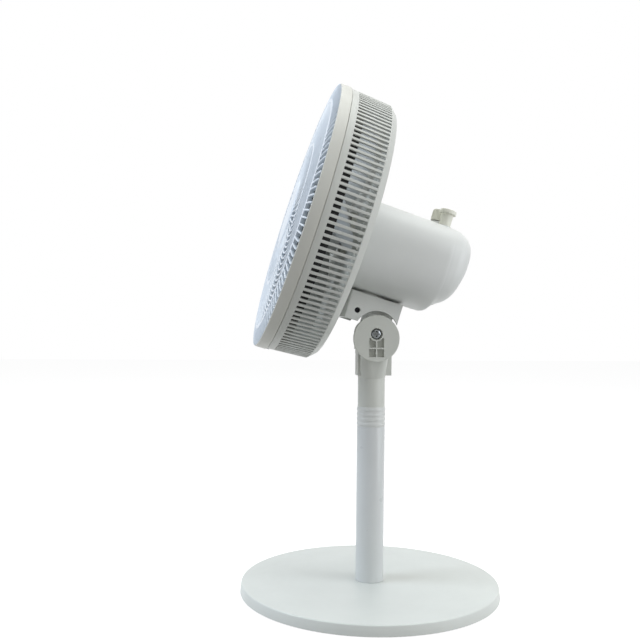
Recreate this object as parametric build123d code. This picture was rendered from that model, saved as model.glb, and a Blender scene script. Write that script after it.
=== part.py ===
from build123d import *
import os
from math import atan2, asin, cos, degrees, hypot, pi, radians, sin, sqrt

# Stand fan: round base, pole, forked neck, tilting and swinging head. Millimetres and degrees.
# Origin: middle of the base on the floor. +Z is up, the air leaves towards -Y.
# The head is drawn in its own frame: origin on the tilt axis, y to the rear along the fan axis, z up,
# and in_head() then leans it back by HEAD_TILT about the tilt axis.

# ---- base and pole
BASE_R = 175.0            # top edge of the base
BASE_FOOT_R = 176.5       # bottom edge, the side is drafted
BASE_TOP = 15.0           # height of the flat top
BASE_GAP = 1.2            # cover's rim above the floor
BASE_WALL = 2.5
BASE_EDGE_ROUND = 2.0
FOOT_COUNT = 6
FOOT_CIRCLE_R = 160.0
FOOT_R = 9.0
FOOT_H = 3.0
WEIGHT_R = 146.0
WEIGHT_HOLE_R = 33.0
WEIGHT_BOTTOM = 5.5
WEIGHT_T = 6.0
WEIGHT_SCREW_CIRCLE_R = 110.0
WEIGHT_SCREW_COUNT = 6
WEIGHT_SCREW_START = 30.0
WEIGHT_BOSS_R = 5.0
M4_R = 2.0                # plain radius that stands for an M4 thread
M4_HEAD_R = 4.5
POLE_R = 19.1
POLE_BORE_R = 16.95
POLE_TOP = 226.0
SPIGOT_R = 15.0           # threaded foot of the pole that passes through the base
SPIGOT_BOTTOM = 3.0
POLE_NUT_R = 29.0
POLE_NUT_T = 6.5
COLLAR_TOP = 253.0        # ribbed collar between pole and neck
COLLAR_RIB_PITCH = 6.55
COLLAR_RIB_W = 3.6
COLLAR_RIB_H = 0.5
COLLAR_RIBS = 4

# ---- neck and tilt joint
TILT_Z = 353.0            # height of the tilt axis, parallel to X, over the middle of the base
NECK_R = 18.45
NECK_PLUG_R = 16.9        # part of the neck inside pole and collar
NECK_PLUG_BOTTOM = 185.0
NECK_BORE_R = 14.0
YOKE_LOW = 292.0          # the neck widens into the yoke from here
YOKE_FULL = 326.0
YOKE_TOP = 331.5          # floor of the fork
EAR_IN = 22.5             # inner face of a fork ear, from the middle plane
EAR_CAP_IN = 30.3         # the eccentric cap starts here
EAR_OUT = 33.0
EAR_CORE_R = 25.0
FAR_EAR_R = 19.0          # plain far ear that takes the nut
CAP_R = 31.5
CAP_DROP = 6.1            # centre of the cap below the tilt axis
FIN_HALF_W = 10.5
FIN_FRONT = -21.0
FIN_REAR = 26.0
FIN_BOTTOM = 296.0
FIN_EDGE_ROUND = 1.0
WINDOW_HALF_W = 10.2
WINDOW_TOP = 347.5
WINDOW_BOTTOM = 322.2
WINDOW_SPLIT = 334.0      # height of the cross rib in the window
WINDOW_DEPTH = 6.0
WINDOW_RIB = 1.8
TILT_BOLT_R = 4.0
TILT_BOLT_RECESS_R = 8.15
TILT_BOLT_RECESS = 3.6
TILT_BOLT_HEAD_R = 7.2
TILT_NUT_AF = 12.0
TILT_NUT_RECESS = 6.0
RUNNING_GAP = 0.05        # radial clearance of a shaft in its bush

# ---- tilt bracket, in the head frame
HEAD_TILT = 17.0
BRACKET_HALF_W = 30.0
BRACKET_WALL = 3.5
BRACKET_EDGE_ROUND = 0.7
BRACKET_FRONT = -50.0
BRACKET_REAR = 23.5
BRACKET_LOW = 9.0
BRACKET_TOP = 47.5
BRACKET_ARC_R = 30.8      # cut-out of the cheeks around the fork ears
TONGUE_IN = 17.0
TONGUE_OUT = 21.4
TONGUE_R = 17.0
SIDE_SCREW_Y = -34.3
SIDE_SCREW_Z = 22.9
SIDE_SCREW_RECESS_R = 3.75
SIDE_BOSS_R = 6.5
SIDE_BOSS_IN = 16.0

# ---- swing joint
SWING_Y = -21.5
SWING_MAX = 40.0
TURRET_R = 22.0
TURRET_TOP = 54.0
POST_R = 6.0
POST_TOP = 67.5
POST_FLANGE_R = 11.0
POST_FLANGE_T = 3.0
CHASSIS_BOTTOM = 55.1
CHASSIS_T = 3.0
CHASSIS_HALF_W = 26.0
SWIVEL_BOSS_R = 10.5
SWIVEL_BOSS_TOP = 64.0
SWIVEL_BUSH_R = 8.0
CIRCLIP_R = 9.0
CIRCLIP_T = 1.4

# ---- motor and gearbox
FAN_Z = 120.0             # height of the fan axis in the head frame
SHAFT_R = 4.0
MOTOR_R = 45.0
STATOR_R = 42.0
STATOR_BORE_R = 25.5
ROTOR_CORE_R = 25.0
STATOR_FRONT = -50.0
STATOR_REAR = -26.0
PLATE_FRONT = -67.7       # front face of the motor mount plate
PLATE_T = 4.0
SHIELD_REAR = -6.0
MOTOR_NECK_R = 18.0
MOTOR_NECK_FRONT = -80.0
BUSH_R = 8.0
GEAR_MODULE = 1.0
WHEEL_TEETH = 42
PINION_TEETH = 12
CRANK_TEETH = 42
WORM_R = 4.0              # pitch radius of the worm
WHEEL_X = 25.0
WHEEL_Y = 46.0
WHEEL_T = 5.0
SPINDLE_R = 3.0
SPINDLE_BOTTOM = 73.0
CRANK_Z = 74.0
CRANK_T = 4.0
CRANK_THROW = 12.0
CRANK_AXLE_R = 2.5
LINK_Z = 70.0
LINK_T = 2.0
LINK_PIN_R = 2.5
LINK_PIN_TOP = 69.4

# ---- motor cover
COVER_FRONT = -67.0
COVER_WALL = 2.4
COVER_POWER = 2.8         # exponent of the rounded cross-section
# y, half width, bottom, top: flat underside, chin at y = 55, hollow behind it, round rear
COVER_STATIONS = [
    (COVER_FRONT, 74.5, 50.0, 171.5),
    (-20.0, 74.5, 50.0, 171.0),
    (30.0, 74.2, 50.0, 170.0),
    (50.0, 73.0, 50.0, 169.6),
    (54.0, 72.6, 50.1, 169.5),
    (56.5, 72.1, 51.6, 169.4),
    (60.0, 71.3, 58.4, 169.3),
    (64.4, 70.2, 62.2, 168.9),
    (69.5, 68.6, 65.2, 167.6),
    (74.8, 65.8, 68.6, 165.2),
    (79.3, 62.8, 73.6, 162.4),
    (82.0, 60.4, 79.4, 160.0),
    (84.5, 57.0, 89.0, 156.4),
    (86.6, 52.5, 98.5, 150.5),
    (88.0, 46.0, 108.0, 141.0),
]
COVER_BEND = 50.0         # behind this y the inside is drawn by moving the outline forward
COVER_SCREW_PLACES = [(-57.0, 72.0), (57.0, 72.0), (-57.0, 150.0), (57.0, 150.0)]
COVER_BOSS_R = 5.0
COVER_BOSS_REAR = -42.0
GLAND_Y = 69.5            # the cord bush sits in the slope behind the chin
GLAND_Z = 65.2
GLAND_LEAN = 38.0         # its axis leans back from straight down, past the pole and the base
GLAND_R = 6.5
GLAND_FLANGE_R = 8.5
GLAND_BORE_R = 3.6
GLAND_OUT = 0.4           # flange proud of the cover
GLAND_SEAT = 0.8          # depth of the flange's seat in the cover
GLAND_IN = 5.4

# ---- guards and blade
RING_R = 183.8
RING_FRONT = -148.7
RING_REAR = -134.3
DRUM_FRONT_R = 182.3
DRUM_REAR_R = 178.6
DRUM_REAR = -78.4
GUARD_BACK_R = 171.0
GUARD_BACK_RIM = -70.0    # the back is a very flat cone
GUARD_WALL = 2.5
GUARD_HUB_R = 76.0
SLOT_FRONT = -124.5
SLOT_REAR = -79.3
DRUM_SLOTS = 144
DRUM_SLOT_W = 4.2
BACK_SLOTS = 72
BACK_SLOT_W = 3.4
BACK_RING_R = 122.0
BACK_OUTER_R = 163.0
BACK_OUTER_SLOTS = 108
LIP_GAP = 0.1             # between the front guard's lip and the drum
LIP_H = 6.0
LIP_T = 1.8
GUARD_SCREW_Y = -131.2    # lock screw through drum and lip, at the bottom
GUARD_SCREW_R = 1.5
GUARD_SCREW_HEAD_R = 2.8
GUARD_SCREW_SEAT_R = 181.3
GRILLE_RIB_T = 2.4
GRILLE_CROWN = 10.0       # height of the dome
GRILLE_DOME_R = 183.0
GRILLE_DEPTH = 6.0
GRILLE_OUTER_SLOTS = 120
GRILLE_RING_R = 159.0     # straight ribs outside this ring, swirled ribs inside it
GRILLE_MIDDLE_SLOTS = 90
GRILLE_INNER_RING_R = 98.0
GRILLE_INNER_SLOTS = 60
GRILLE_RING_HALF_W = 2.5
GRILLE_SWIRL = 24.0       # how far the swirled ribs turn between cap and ring, mostly near the ring
GRILLE_RIM_R = 176.0
GRILLE_CAP_R = 46.0
BLADE_R = 150.0
BLADE_COUNT = 5
BLADE_T = 2.4
HUB_R = 33.0
HUB_FRONT = -120.0
HUB_REAR = -84.0

# ---- controls on top of the motor cover
DIAL_X = -5.0
DIAL_R = 13.6
DIAL_BOTTOM = 176.8
DIAL_TOP = 192.8
DIAL_BOSS_TOP = 175.4
SWITCH_SHAFT_R = 3.0
KNOB_X = 25.0
CONTROL_Y = 46.0
KNOB_STEM_R = 8.2
KNOB_CAP_R = 11.4
KNOB_STEM_BOTTOM = 160.0
KNOB_CAP_BOTTOM = 184.6
KNOB_TOP = 190.6
ROD_R = 2.2

BIG = 400.0               # larger than any piece, for cutting tools
ALIGN_LOW = (Align.CENTER, Align.CENTER, Align.MIN)
OUT_DIR = "parts"


# ---------------------------------------------------------------- shape helpers
def drum(radius, bottom, top, x=0.0, y=0.0):
    """Upright cylinder between two heights."""
    return Pos(x, y, bottom) * Cylinder(radius, top - bottom, align=ALIGN_LOW)


def drum_x(radius, left, right, y=0.0, z=0.0):
    """Cylinder along X between two planes."""
    return Pos(left, y, z) * Rot(0, 90, 0) * Cylinder(radius, right - left, align=ALIGN_LOW)


def drum_y(radius, front, rear, x=0.0, z=FAN_Z):
    """Cylinder along Y between two planes, on the fan axis unless placed elsewhere."""
    return Pos(x, front, z) * Rot(-90, 0, 0) * Cylinder(radius, rear - front, align=ALIGN_LOW)


def block(x_range, y_range, z_range):
    """Box from three (low, high) ranges."""
    low = (x_range[0], y_range[0], z_range[0])
    size = (x_range[1] - x_range[0], y_range[1] - y_range[0], z_range[1] - z_range[0])
    return Pos(*low) * Box(*size, align=(Align.MIN, Align.MIN, Align.MIN))


def turned(points):
    """Solid of revolution about Z from (radius, height) points."""
    outline = Polyline(*[(r, 0, z) for r, z in points], close=True)
    return revolve(make_face(outline), Axis.Z)


def turned_on_fan_axis(points):
    """Solid of revolution about the fan axis from (radius, y) points."""
    outline = Polyline(*[(r, y, 0) for r, y in points], close=True)
    return Pos(0, 0, FAN_Z) * revolve(make_face(outline), Axis.Y)


def mirrored_pair(shape):
    """The shape and its mirror image about the middle plane X = 0."""
    return shape + mirror(shape, Plane.YZ)


def ring_of(shape, count, radius, start=0.0):
    """Copies of a shape around Z, each moved out to a radius."""
    places = [Rot(0, 0, start + 360.0 * i / count) * Pos(radius, 0, 0) for i in range(count)]
    return [place * shape for place in places]


def in_head(shape):
    """Move a shape from the head frame to the fan's frame."""
    return Pos(0, 0, TILT_Z) * Rot(-HEAD_TILT, 0, 0) * shape


def edges_at(shape, radius, height):
    """Circular edges of a given radius and height."""
    rings = shape.edges().filter_by(GeomType.CIRCLE)
    return [e for e in rings if abs(e.radius - radius) < 0.01 and abs(e.arc_center.Z - height) < 0.01]


def toothed_disc(teeth, bottom, top, root_gap=0.35):
    """Spur gear with straight-sided teeth, slightly thin so that a pair runs with backlash."""
    pitch_r = GEAR_MODULE * teeth / 2
    tip_r = pitch_r + 0.85 * GEAR_MODULE
    root_r = pitch_r - 0.85 * GEAR_MODULE - root_gap
    half_root = 0.78 * GEAR_MODULE / pitch_r
    half_tip = 0.32 * GEAR_MODULE / pitch_r
    points = []
    for i in range(teeth):
        middle = 2 * pi * i / teeth
        corners = [(root_r, -half_root), (tip_r, -half_tip), (tip_r, half_tip), (root_r, half_root)]
        for radius, turn in corners:
            points.append((radius * cos(middle + turn), radius * sin(middle + turn)))
    face = make_face(Polyline(*points, close=True))
    return Pos(0, 0, bottom) * extrude(face, top - bottom)


# ---------------------------------------------------------------- base and pole
def at_weight_screws(shape):
    """Copies of a shape at the places of the ballast ring's screws."""
    return ring_of(shape, WEIGHT_SCREW_COUNT, WEIGHT_SCREW_CIRCLE_R, WEIGHT_SCREW_START)


def base_cover():
    """Low round cover: flat top, drafted side, open underside with ribs, foot seats and screw bosses."""
    ceiling = BASE_TOP - BASE_WALL
    outside = turned([(0, BASE_GAP), (BASE_FOOT_R, BASE_GAP), (BASE_R, BASE_TOP), (0, BASE_TOP)])
    outside = fillet(edges_at(outside, BASE_R, BASE_TOP), BASE_EDGE_ROUND)
    shell = outside - drum(BASE_R - BASE_WALL, 0, ceiling)
    rib = block((WEIGHT_R + 4, BASE_R - 1), (-1, 1), (BASE_GAP + 3, ceiling))
    for place in range(4 * FOOT_COUNT):
        shell += Rot(0, 0, 360.0 * (place + 0.5) / (4 * FOOT_COUNT)) * rib
    for seat in ring_of(drum(FOOT_R + 2, FOOT_H, ceiling), FOOT_COUNT, FOOT_CIRCLE_R):
        shell += seat
    bosses = at_weight_screws(drum(WEIGHT_BOSS_R, WEIGHT_BOTTOM + WEIGHT_T, ceiling))
    pilots = at_weight_screws(drum(M4_R, WEIGHT_BOTTOM, BASE_TOP - 1))
    for boss, pilot in zip(bosses, pilots):
        shell = shell + boss - pilot
    return shell - drum(SPIGOT_R, 0, BIG)


def base_weight():
    """Steel ballast ring under the cover, drilled for its screws."""
    ring = drum(WEIGHT_R, WEIGHT_BOTTOM, WEIGHT_BOTTOM + WEIGHT_T) - drum(WEIGHT_HOLE_R, 0, BIG)
    for hole in at_weight_screws(drum(M4_R, 0, BASE_TOP)):
        ring -= hole
    return ring


def weight_screws():
    """Pan-head screws that hold the ballast ring, heads below."""
    slot = block((-3, 3), (-0.5, 0.5), (0, WEIGHT_BOTTOM - 1.2))
    head = drum(M4_HEAD_R, WEIGHT_BOTTOM - 2, WEIGHT_BOTTOM) - slot
    screw = head + drum(M4_R, WEIGHT_BOTTOM, BASE_TOP - 1)
    return Compound(children=at_weight_screws(screw))


def rubber_feet():
    """Flat round pads under the cover's foot seats."""
    pad = drum(FOOT_R, 0, FOOT_H)
    pad = chamfer(edges_at(pad, FOOT_R, 0), 0.4)
    return Compound(children=ring_of(pad, FOOT_COUNT, FOOT_CIRCLE_R))


def pole_nut():
    """Large ring nut that clamps the pole's spigot from below, with finger notches."""
    top = BASE_TOP - BASE_WALL
    nut = drum(POLE_NUT_R, top - POLE_NUT_T, top) - drum(SPIGOT_R, 0, BIG)
    for notch in ring_of(drum(4, 0, BIG), 6, POLE_NUT_R + 1):
        nut -= notch
    return nut


def pole_lower():
    """Straight tube that stands on the base, with a threaded spigot through it."""
    floor_top = BASE_TOP + 6
    tube = drum(POLE_R, BASE_TOP, POLE_TOP) - drum(POLE_BORE_R, floor_top, BIG)
    spigot = drum(SPIGOT_R, SPIGOT_BOTTOM, BASE_TOP)
    return tube + spigot - drum(SPIGOT_R - 4, 0, BIG)


def pole_collar():
    """Grip ring between pole and neck with raised ribs around it."""
    sleeve = drum(POLE_R, POLE_TOP, COLLAR_TOP)
    middle = (POLE_TOP + COLLAR_TOP) / 2
    for i in range(COLLAR_RIBS):
        height = middle + (i - (COLLAR_RIBS - 1) / 2) * COLLAR_RIB_PITCH
        rib = drum(POLE_R + COLLAR_RIB_H, height - COLLAR_RIB_W / 2, height + COLLAR_RIB_W / 2)
        sleeve += chamfer(rib.edges().filter_by(GeomType.CIRCLE), 0.45)
    return sleeve - drum(POLE_BORE_R, 0, BIG)


# ---------------------------------------------------------------- neck and tilt joint
def yoke_outline(width, corner):
    """Rounded rectangle that the neck widens through."""
    return RectangleRounded(width, 2 * NECK_R, corner)


def ear():
    """Right-hand fork ear: round core, eccentric cap, screw recess and cored window in its outer face."""
    core = drum_x(EAR_CORE_R, EAR_IN, EAR_CAP_IN, z=TILT_Z)
    leg = block((EAR_IN, EAR_CAP_IN), (-NECK_R, NECK_R), (YOKE_TOP - 1, TILT_Z - 10))
    cap = drum_x(CAP_R, EAR_CAP_IN - 0.1, EAR_OUT, z=TILT_Z - CAP_DROP)
    rims = cap.edges().filter_by(GeomType.CIRCLE)
    cap = chamfer([e for e in rims if e.arc_center.X > EAR_OUT - 0.1], 0.7)
    below = (WINDOW_BOTTOM, WINDOW_SPLIT - WINDOW_RIB / 2)
    above = (WINDOW_SPLIT + WINDOW_RIB / 2, WINDOW_TOP)
    pockets = []
    for y_side in (-1, 1):
        near, far = sorted((y_side * WINDOW_RIB / 2, y_side * WINDOW_HALF_W))
        for z_range in (below, above):
            pocket = block((EAR_OUT - WINDOW_DEPTH, EAR_OUT + 1), (near, far), z_range)
            pockets.append(pocket - drum_x(TILT_BOLT_RECESS_R + 1.6, 0, BIG, z=TILT_Z))
    return core + leg + cap, pockets


def far_ear():
    """Plain round ear on the far side, which takes the nut."""
    core = drum_x(FAR_EAR_R, -EAR_OUT, -EAR_IN, z=TILT_Z)
    return core + block((-EAR_OUT, -EAR_IN), (-NECK_R, NECK_R), (YOKE_TOP - 1, TILT_Z - 5))


def neck_fork():
    """Neck tube that widens into a yoke with two ears; gussets run down its front and back."""
    body = drum(NECK_PLUG_R, NECK_PLUG_BOTTOM, COLLAR_TOP) + drum(NECK_R, COLLAR_TOP, YOKE_LOW)
    low = Pos(0, 0, YOKE_LOW) * yoke_outline(2 * NECK_R, NECK_R - 0.4)
    full = Pos(0, 0, YOKE_FULL) * yoke_outline(2 * EAR_OUT, 9)
    body += loft([low, full], ruled=True)
    body += extrude(full, YOKE_TOP - YOKE_FULL)
    for y_range in ((FIN_FRONT, -NECK_R + 4), (NECK_R - 4, FIN_REAR)):
        fin = block((-FIN_HALF_W, FIN_HALF_W), y_range, (FIN_BOTTOM, YOKE_TOP))
        body += fillet(fin.edges().filter_by(Axis.Z), FIN_EDGE_ROUND)
    near_ear, pockets = ear()
    body = body + near_ear + far_ear()
    for pocket in pockets:
        body -= pocket
    body -= drum(NECK_BORE_R, 0, YOKE_FULL - 18)
    body -= drum(5, 0, BIG)
    body -= drum_x(TILT_BOLT_R, -BIG, BIG, z=TILT_Z)
    body -= drum_x(TILT_BOLT_RECESS_R, EAR_OUT - TILT_BOLT_RECESS, BIG, z=TILT_Z)
    return body - drum_x(TILT_BOLT_RECESS_R, -BIG, -EAR_OUT + TILT_NUT_RECESS, z=TILT_Z)


def tilt_bolt():
    """Cross-recessed bolt that is the tilt axle."""
    seat = EAR_OUT - TILT_BOLT_RECESS
    head = drum_x(TILT_BOLT_HEAD_R, seat, seat + 3, z=TILT_Z)
    head = fillet([e for e in head.edges().filter_by(GeomType.CIRCLE) if e.arc_center.X > seat + 1], 1.4)
    for half_y, half_z in ((4, 0.6), (0.6, 4)):
        head -= block((seat + 1, seat + 9), (-half_y, half_y), (TILT_Z - half_z, TILT_Z + half_z))
    return head + drum_x(TILT_BOLT_R, -EAR_OUT + 0.8, seat, z=TILT_Z)


def tilt_nut():
    """Hexagon nut on the far end of the tilt bolt."""
    low = -EAR_OUT + 1.2
    prism = extrude(RegularPolygon(TILT_NUT_AF / sqrt(3), 6), TILT_NUT_RECESS - 1.2)
    nut = Pos(low, 0, TILT_Z) * Rot(0, 90, 0) * prism
    return nut - drum_x(TILT_BOLT_R, -BIG, BIG, z=TILT_Z)


def tilt_washers():
    """Friction washers between the fork ears and the bracket's tongues."""
    ring = drum_x(16, TONGUE_OUT + RUNNING_GAP, EAR_IN, z=TILT_Z) - drum_x(TILT_BOLT_R, 0, BIG, z=TILT_Z)
    return Compound(children=[ring, mirror(ring, Plane.YZ)])


# ---------------------------------------------------------------- tilt bracket (head frame)
def tilt_bracket():
    """Saddle that tilts with the head: two cheeks, front wall, top with turret, two inner tongues."""
    inner = BRACKET_HALF_W - BRACKET_WALL
    length, height = (BRACKET_FRONT, BRACKET_REAR), (BRACKET_LOW, BRACKET_TOP)
    saddle = block((-BRACKET_HALF_W, BRACKET_HALF_W), length, height)
    uprights = saddle.edges().filter_by(Axis.Z).sort_by(Axis.Y)[:2]
    saddle = fillet(uprights, 3)
    saddle -= block((-inner, inner), (BRACKET_FRONT + BRACKET_WALL, BIG), (0, BRACKET_TOP - BRACKET_WALL))
    saddle -= drum_x(BRACKET_ARC_R, -BIG, BIG)
    tongue = drum_x(TONGUE_R, TONGUE_IN, TONGUE_OUT)
    tongue += block((TONGUE_IN, TONGUE_OUT), (-TONGUE_R, TONGUE_R), (0, BRACKET_TOP - 1))
    saddle += mirrored_pair(tongue)
    saddle += mirrored_pair(drum_x(SIDE_BOSS_R, SIDE_BOSS_IN, inner + 1, SIDE_SCREW_Y, SIDE_SCREW_Z))
    saddle += drum(TURRET_R, BRACKET_TOP - 1, TURRET_TOP, y=SWING_Y)
    saddle -= mirrored_pair(drum_x(SIDE_SCREW_RECESS_R, inner - 2, BIG, SIDE_SCREW_Y, SIDE_SCREW_Z))
    saddle -= mirrored_pair(drum_x(M4_R, SIDE_BOSS_IN + 1, BIG, SIDE_SCREW_Y, SIDE_SCREW_Z))
    saddle -= drum_x(TILT_BOLT_R + RUNNING_GAP, -BIG, BIG)
    saddle -= drum(POST_R, 0, BIG, y=SWING_Y)
    saddle -= drum(LINK_PIN_R, 0, BIG, *link_pin_place())
    outside = [e for e in saddle.edges() if abs(abs(e.center().X) - BRACKET_HALF_W) < 0.01]
    return fillet([e for e in outside if e.bounding_box().size.X < 0.01], BRACKET_EDGE_ROUND)


def bracket_screws():
    """Dark screws sunk in the two cheeks."""
    seat = BRACKET_HALF_W - BRACKET_WALL - 2
    head = drum_x(SIDE_SCREW_RECESS_R - 0.1, seat, seat + 2, SIDE_SCREW_Y, SIDE_SCREW_Z)
    for half_y, half_z in ((2.2, 0.4), (0.4, 2.2)):
        slot_y = (SIDE_SCREW_Y - half_y, SIDE_SCREW_Y + half_y)
        slot_z = (SIDE_SCREW_Z - half_z, SIDE_SCREW_Z + half_z)
        head -= block((seat + 1, seat + 5), slot_y, slot_z)
    screw = head + drum_x(M4_R, SIDE_BOSS_IN + 1, seat, SIDE_SCREW_Y, SIDE_SCREW_Z)
    return Compound(children=[screw, mirror(screw, Plane.YZ)])


def swivel_post():
    """Steel post on which the head swings, flanged under the bracket's top."""
    under = BRACKET_TOP - BRACKET_WALL
    groove_low = SWIVEL_BOSS_TOP + 0.3
    post = drum(POST_R, under, POST_TOP, y=SWING_Y)
    post += drum(POST_FLANGE_R, under - POST_FLANGE_T, under, y=SWING_Y)
    groove = drum(POST_R + 1, groove_low, groove_low + CIRCLIP_T, y=SWING_Y)
    return post - (groove - drum(POST_R - 0.8, 0, BIG, y=SWING_Y))


def swivel_circlip():
    """Open spring ring that keeps the head on the post."""
    low = SWIVEL_BOSS_TOP + 0.3
    clip = drum(CIRCLIP_R, low, low + CIRCLIP_T, y=SWING_Y) - drum(POST_R - 0.8, 0, BIG, y=SWING_Y)
    return clip - block((0, BIG), (SWING_Y - 1.5, SWING_Y + 1.5), (0, BIG))


def link_pin():
    """Fixed pin on the bracket; it ends just under the link, where the linkage is opened."""
    x, y = link_pin_place()
    under = BRACKET_TOP - BRACKET_WALL
    return drum(LINK_PIN_R, under, LINK_PIN_TOP, x, y)


# ---------------------------------------------------------------- swing linkage layout
def crank_place():
    """Axis of the crank gear: on the middle plane, in mesh with the output pinion."""
    centres = GEAR_MODULE * (PINION_TEETH + CRANK_TEETH) / 2
    return 0.0, WHEEL_Y - sqrt(centres**2 - WHEEL_X**2)


def linkage():
    """Pin radius on the bracket and link length that swing the head by SWING_MAX to each side.

    At the two ends crank and link lie in one line, so (L + r)^2 and (L - r)^2 are the squared
    distances from the crank's axis to the bracket's pin."""
    span = crank_place()[1] - SWING_Y
    ratio = span * sin(radians(SWING_MAX)) / CRANK_THROW
    pin_radius = sqrt((span**2 - CRANK_THROW**2) / (ratio**2 - 1))
    return pin_radius, ratio * pin_radius


def link_pin_place():
    """Place of the bracket's link pin at rest, beside the swing axis."""
    return linkage()[0], SWING_Y


def crank_pin_place():
    """Place of the crank pin at rest, where the link just reaches both pins."""
    pin_x, pin_y = link_pin_place()
    crank_x, crank_y = crank_place()
    length = linkage()[1]
    dx, dy = pin_x - crank_x, pin_y - crank_y
    reach = hypot(dx, dy)
    bend = (CRANK_THROW**2 + reach**2 - length**2) / (2 * CRANK_THROW * reach)
    angle = atan2(dy, dx) + (pi / 2 - asin(bend))
    return crank_x + CRANK_THROW * cos(angle), crank_y + CRANK_THROW * sin(angle)


def crank_gear():
    """Large gear of the swing drive with a crank pin under it."""
    x, y = crank_place()
    pin_x, pin_y = crank_pin_place()
    half_tooth = 180.0 / CRANK_TEETH
    # one gap of the crank gear faces the pinion, one tooth of the pinion faces the gear
    facing = degrees(atan2(WHEEL_Y - y, WHEEL_X - x))
    gear = toothed_disc(CRANK_TEETH, CRANK_Z, CRANK_Z + CRANK_T)
    gear = Pos(x, y, 0) * Rot(0, 0, facing + half_tooth) * gear
    gear += drum(5, CRANK_Z, CRANK_Z + CRANK_T + 3.5, x, y)
    gear += drum(2, LINK_Z - 0.6, CRANK_Z, pin_x, pin_y)
    return gear - drum(CRANK_AXLE_R + RUNNING_GAP, 0, BIG, x, y)


def crank_axle():
    """Headed pin on which the crank gear turns."""
    x, y = crank_place()
    top = CRANK_Z + CRANK_T + 4
    return drum(CRANK_AXLE_R, CRANK_Z - 0.2, top + 4, x, y) + drum(4.2, CRANK_Z - 1.2, CRANK_Z - 0.2, x, y)


def link():
    """Flat link between crank pin and bracket pin."""
    pin_x, pin_y = link_pin_place()
    crank_x, crank_y = crank_pin_place()
    top = LINK_Z + LINK_T
    length = hypot(pin_x - crank_x, pin_y - crank_y)
    heading = degrees(atan2(pin_y - crank_y, pin_x - crank_x))
    bar = block((0, length), (-2.5, 2.5), (LINK_Z, top))
    bar = Pos(crank_x, crank_y, 0) * Rot(0, 0, heading) * bar
    bar += drum(4.5, LINK_Z, top, crank_x, crank_y) + drum(4.5, LINK_Z, top, pin_x, pin_y)
    bar -= drum(2 + RUNNING_GAP, 0, BIG, crank_x, crank_y)
    return bar - drum(LINK_PIN_R + 0.3, 0, BIG, pin_x, pin_y)


def output_pinion():
    """Spindle under the worm wheel with the pinion that drives the crank gear."""
    x, y = crank_place()
    facing = degrees(atan2(y - WHEEL_Y, x - WHEEL_X))
    pinion = Rot(0, 0, facing) * toothed_disc(PINION_TEETH, CRANK_Z, CRANK_Z + CRANK_T)
    return Pos(WHEEL_X, WHEEL_Y, 0) * (pinion + drum(SPINDLE_R, SPINDLE_BOTTOM, FAN_Z - 4))


def worm_wheel():
    """Wheel driven by the worm on the motor shaft, with a hub around the clutch."""
    low, high = FAN_Z - WHEEL_T / 2, FAN_Z + WHEEL_T / 2
    # a gap of the wheel faces the worm's thread
    wheel = Rot(0, 0, 180 + 180.0 / WHEEL_TEETH) * toothed_disc(WHEEL_TEETH, low, high)
    wheel += drum(7, FAN_Z - 8, FAN_Z + 9)
    wheel -= drum(SPINDLE_R + RUNNING_GAP, 0, FAN_Z - 3)
    return Pos(WHEEL_X, WHEEL_Y, 0) * (wheel - drum(3.6, FAN_Z - 3, BIG))


def gearbox_case():
    """Case behind the motor: worm tunnel, wheel chamber, spindle column and foot for the crank axle."""
    x, y = crank_place()
    chamber_low, chamber_high = FAN_Z - 8.5, FAN_Z + 10.5
    foot_low = CRANK_Z + CRANK_T + 4
    case = drum(26, chamber_low - 3, chamber_high + 3, WHEEL_X, WHEEL_Y)
    case += block((-9, 9), (SHIELD_REAR, 66), (FAN_Z - 10, FAN_Z + 10))
    case += drum(8, foot_low, chamber_low, WHEEL_X, WHEEL_Y)
    case += block((x - 7, WHEEL_X), (y - 7, WHEEL_Y + 8), (foot_low, foot_low + 5))
    case -= drum(23.6, chamber_low, chamber_high, WHEEL_X, WHEEL_Y)
    case -= drum_y(6.2, SHIELD_REAR, 63)
    case -= drum(SPINDLE_R + RUNNING_GAP, 0, FAN_Z, WHEEL_X, WHEEL_Y)
    case -= drum(ROD_R + 0.4, FAN_Z, BIG, WHEEL_X, WHEEL_Y)
    return case - drum(CRANK_AXLE_R, 0, foot_low + 4, x, y)


# ---------------------------------------------------------------- head frame pieces
def chassis():
    """Swivel carrier: plate with a boss on the post and an arc slot for the link pin."""
    top = CHASSIS_BOTTOM + CHASSIS_T
    plate_rear = PLATE_FRONT + PLATE_T
    carrier = block((-CHASSIS_HALF_W, CHASSIS_HALF_W), (plate_rear, 4), (CHASSIS_BOTTOM, top))
    carrier += block((-CHASSIS_HALF_W, CHASSIS_HALF_W), (plate_rear, plate_rear + 3), (CHASSIS_BOTTOM, 74))
    carrier += drum(SWIVEL_BOSS_R, CHASSIS_BOTTOM, SWIVEL_BOSS_TOP, y=SWING_Y)
    carrier -= drum(SWIVEL_BUSH_R, 0, BIG, y=SWING_Y)
    pin_radius = linkage()[0]
    reach = SWING_MAX + 12
    slot = drum(pin_radius + 3.4, 0, BIG) - drum(pin_radius - 3.4, 0, BIG)
    corner = (BIG * cos(radians(reach)), BIG * sin(radians(reach)))
    outline = Polyline((0, 0), (corner[0], -corner[1]), (BIG, 0), corner, close=True)
    wedge = extrude(make_face(outline), BIG)
    carrier -= Pos(0, SWING_Y, 0) * (slot & wedge)
    for x in (-18, 18):
        carrier -= drum_y(M4_R, plate_rear - 1, plate_rear + 4, x, 68)
    return carrier


def chassis_screws():
    """Two screws that hold the carrier to the mount plate."""
    seat = PLATE_FRONT + PLATE_T + 3
    screws = []
    for x in (-18, 18):
        screws.append(drum_y(M4_R, PLATE_FRONT + 0.5, seat, x, 68) + drum_y(3.6, seat, seat + 2.2, x, 68))
    return Compound(children=screws)


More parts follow.
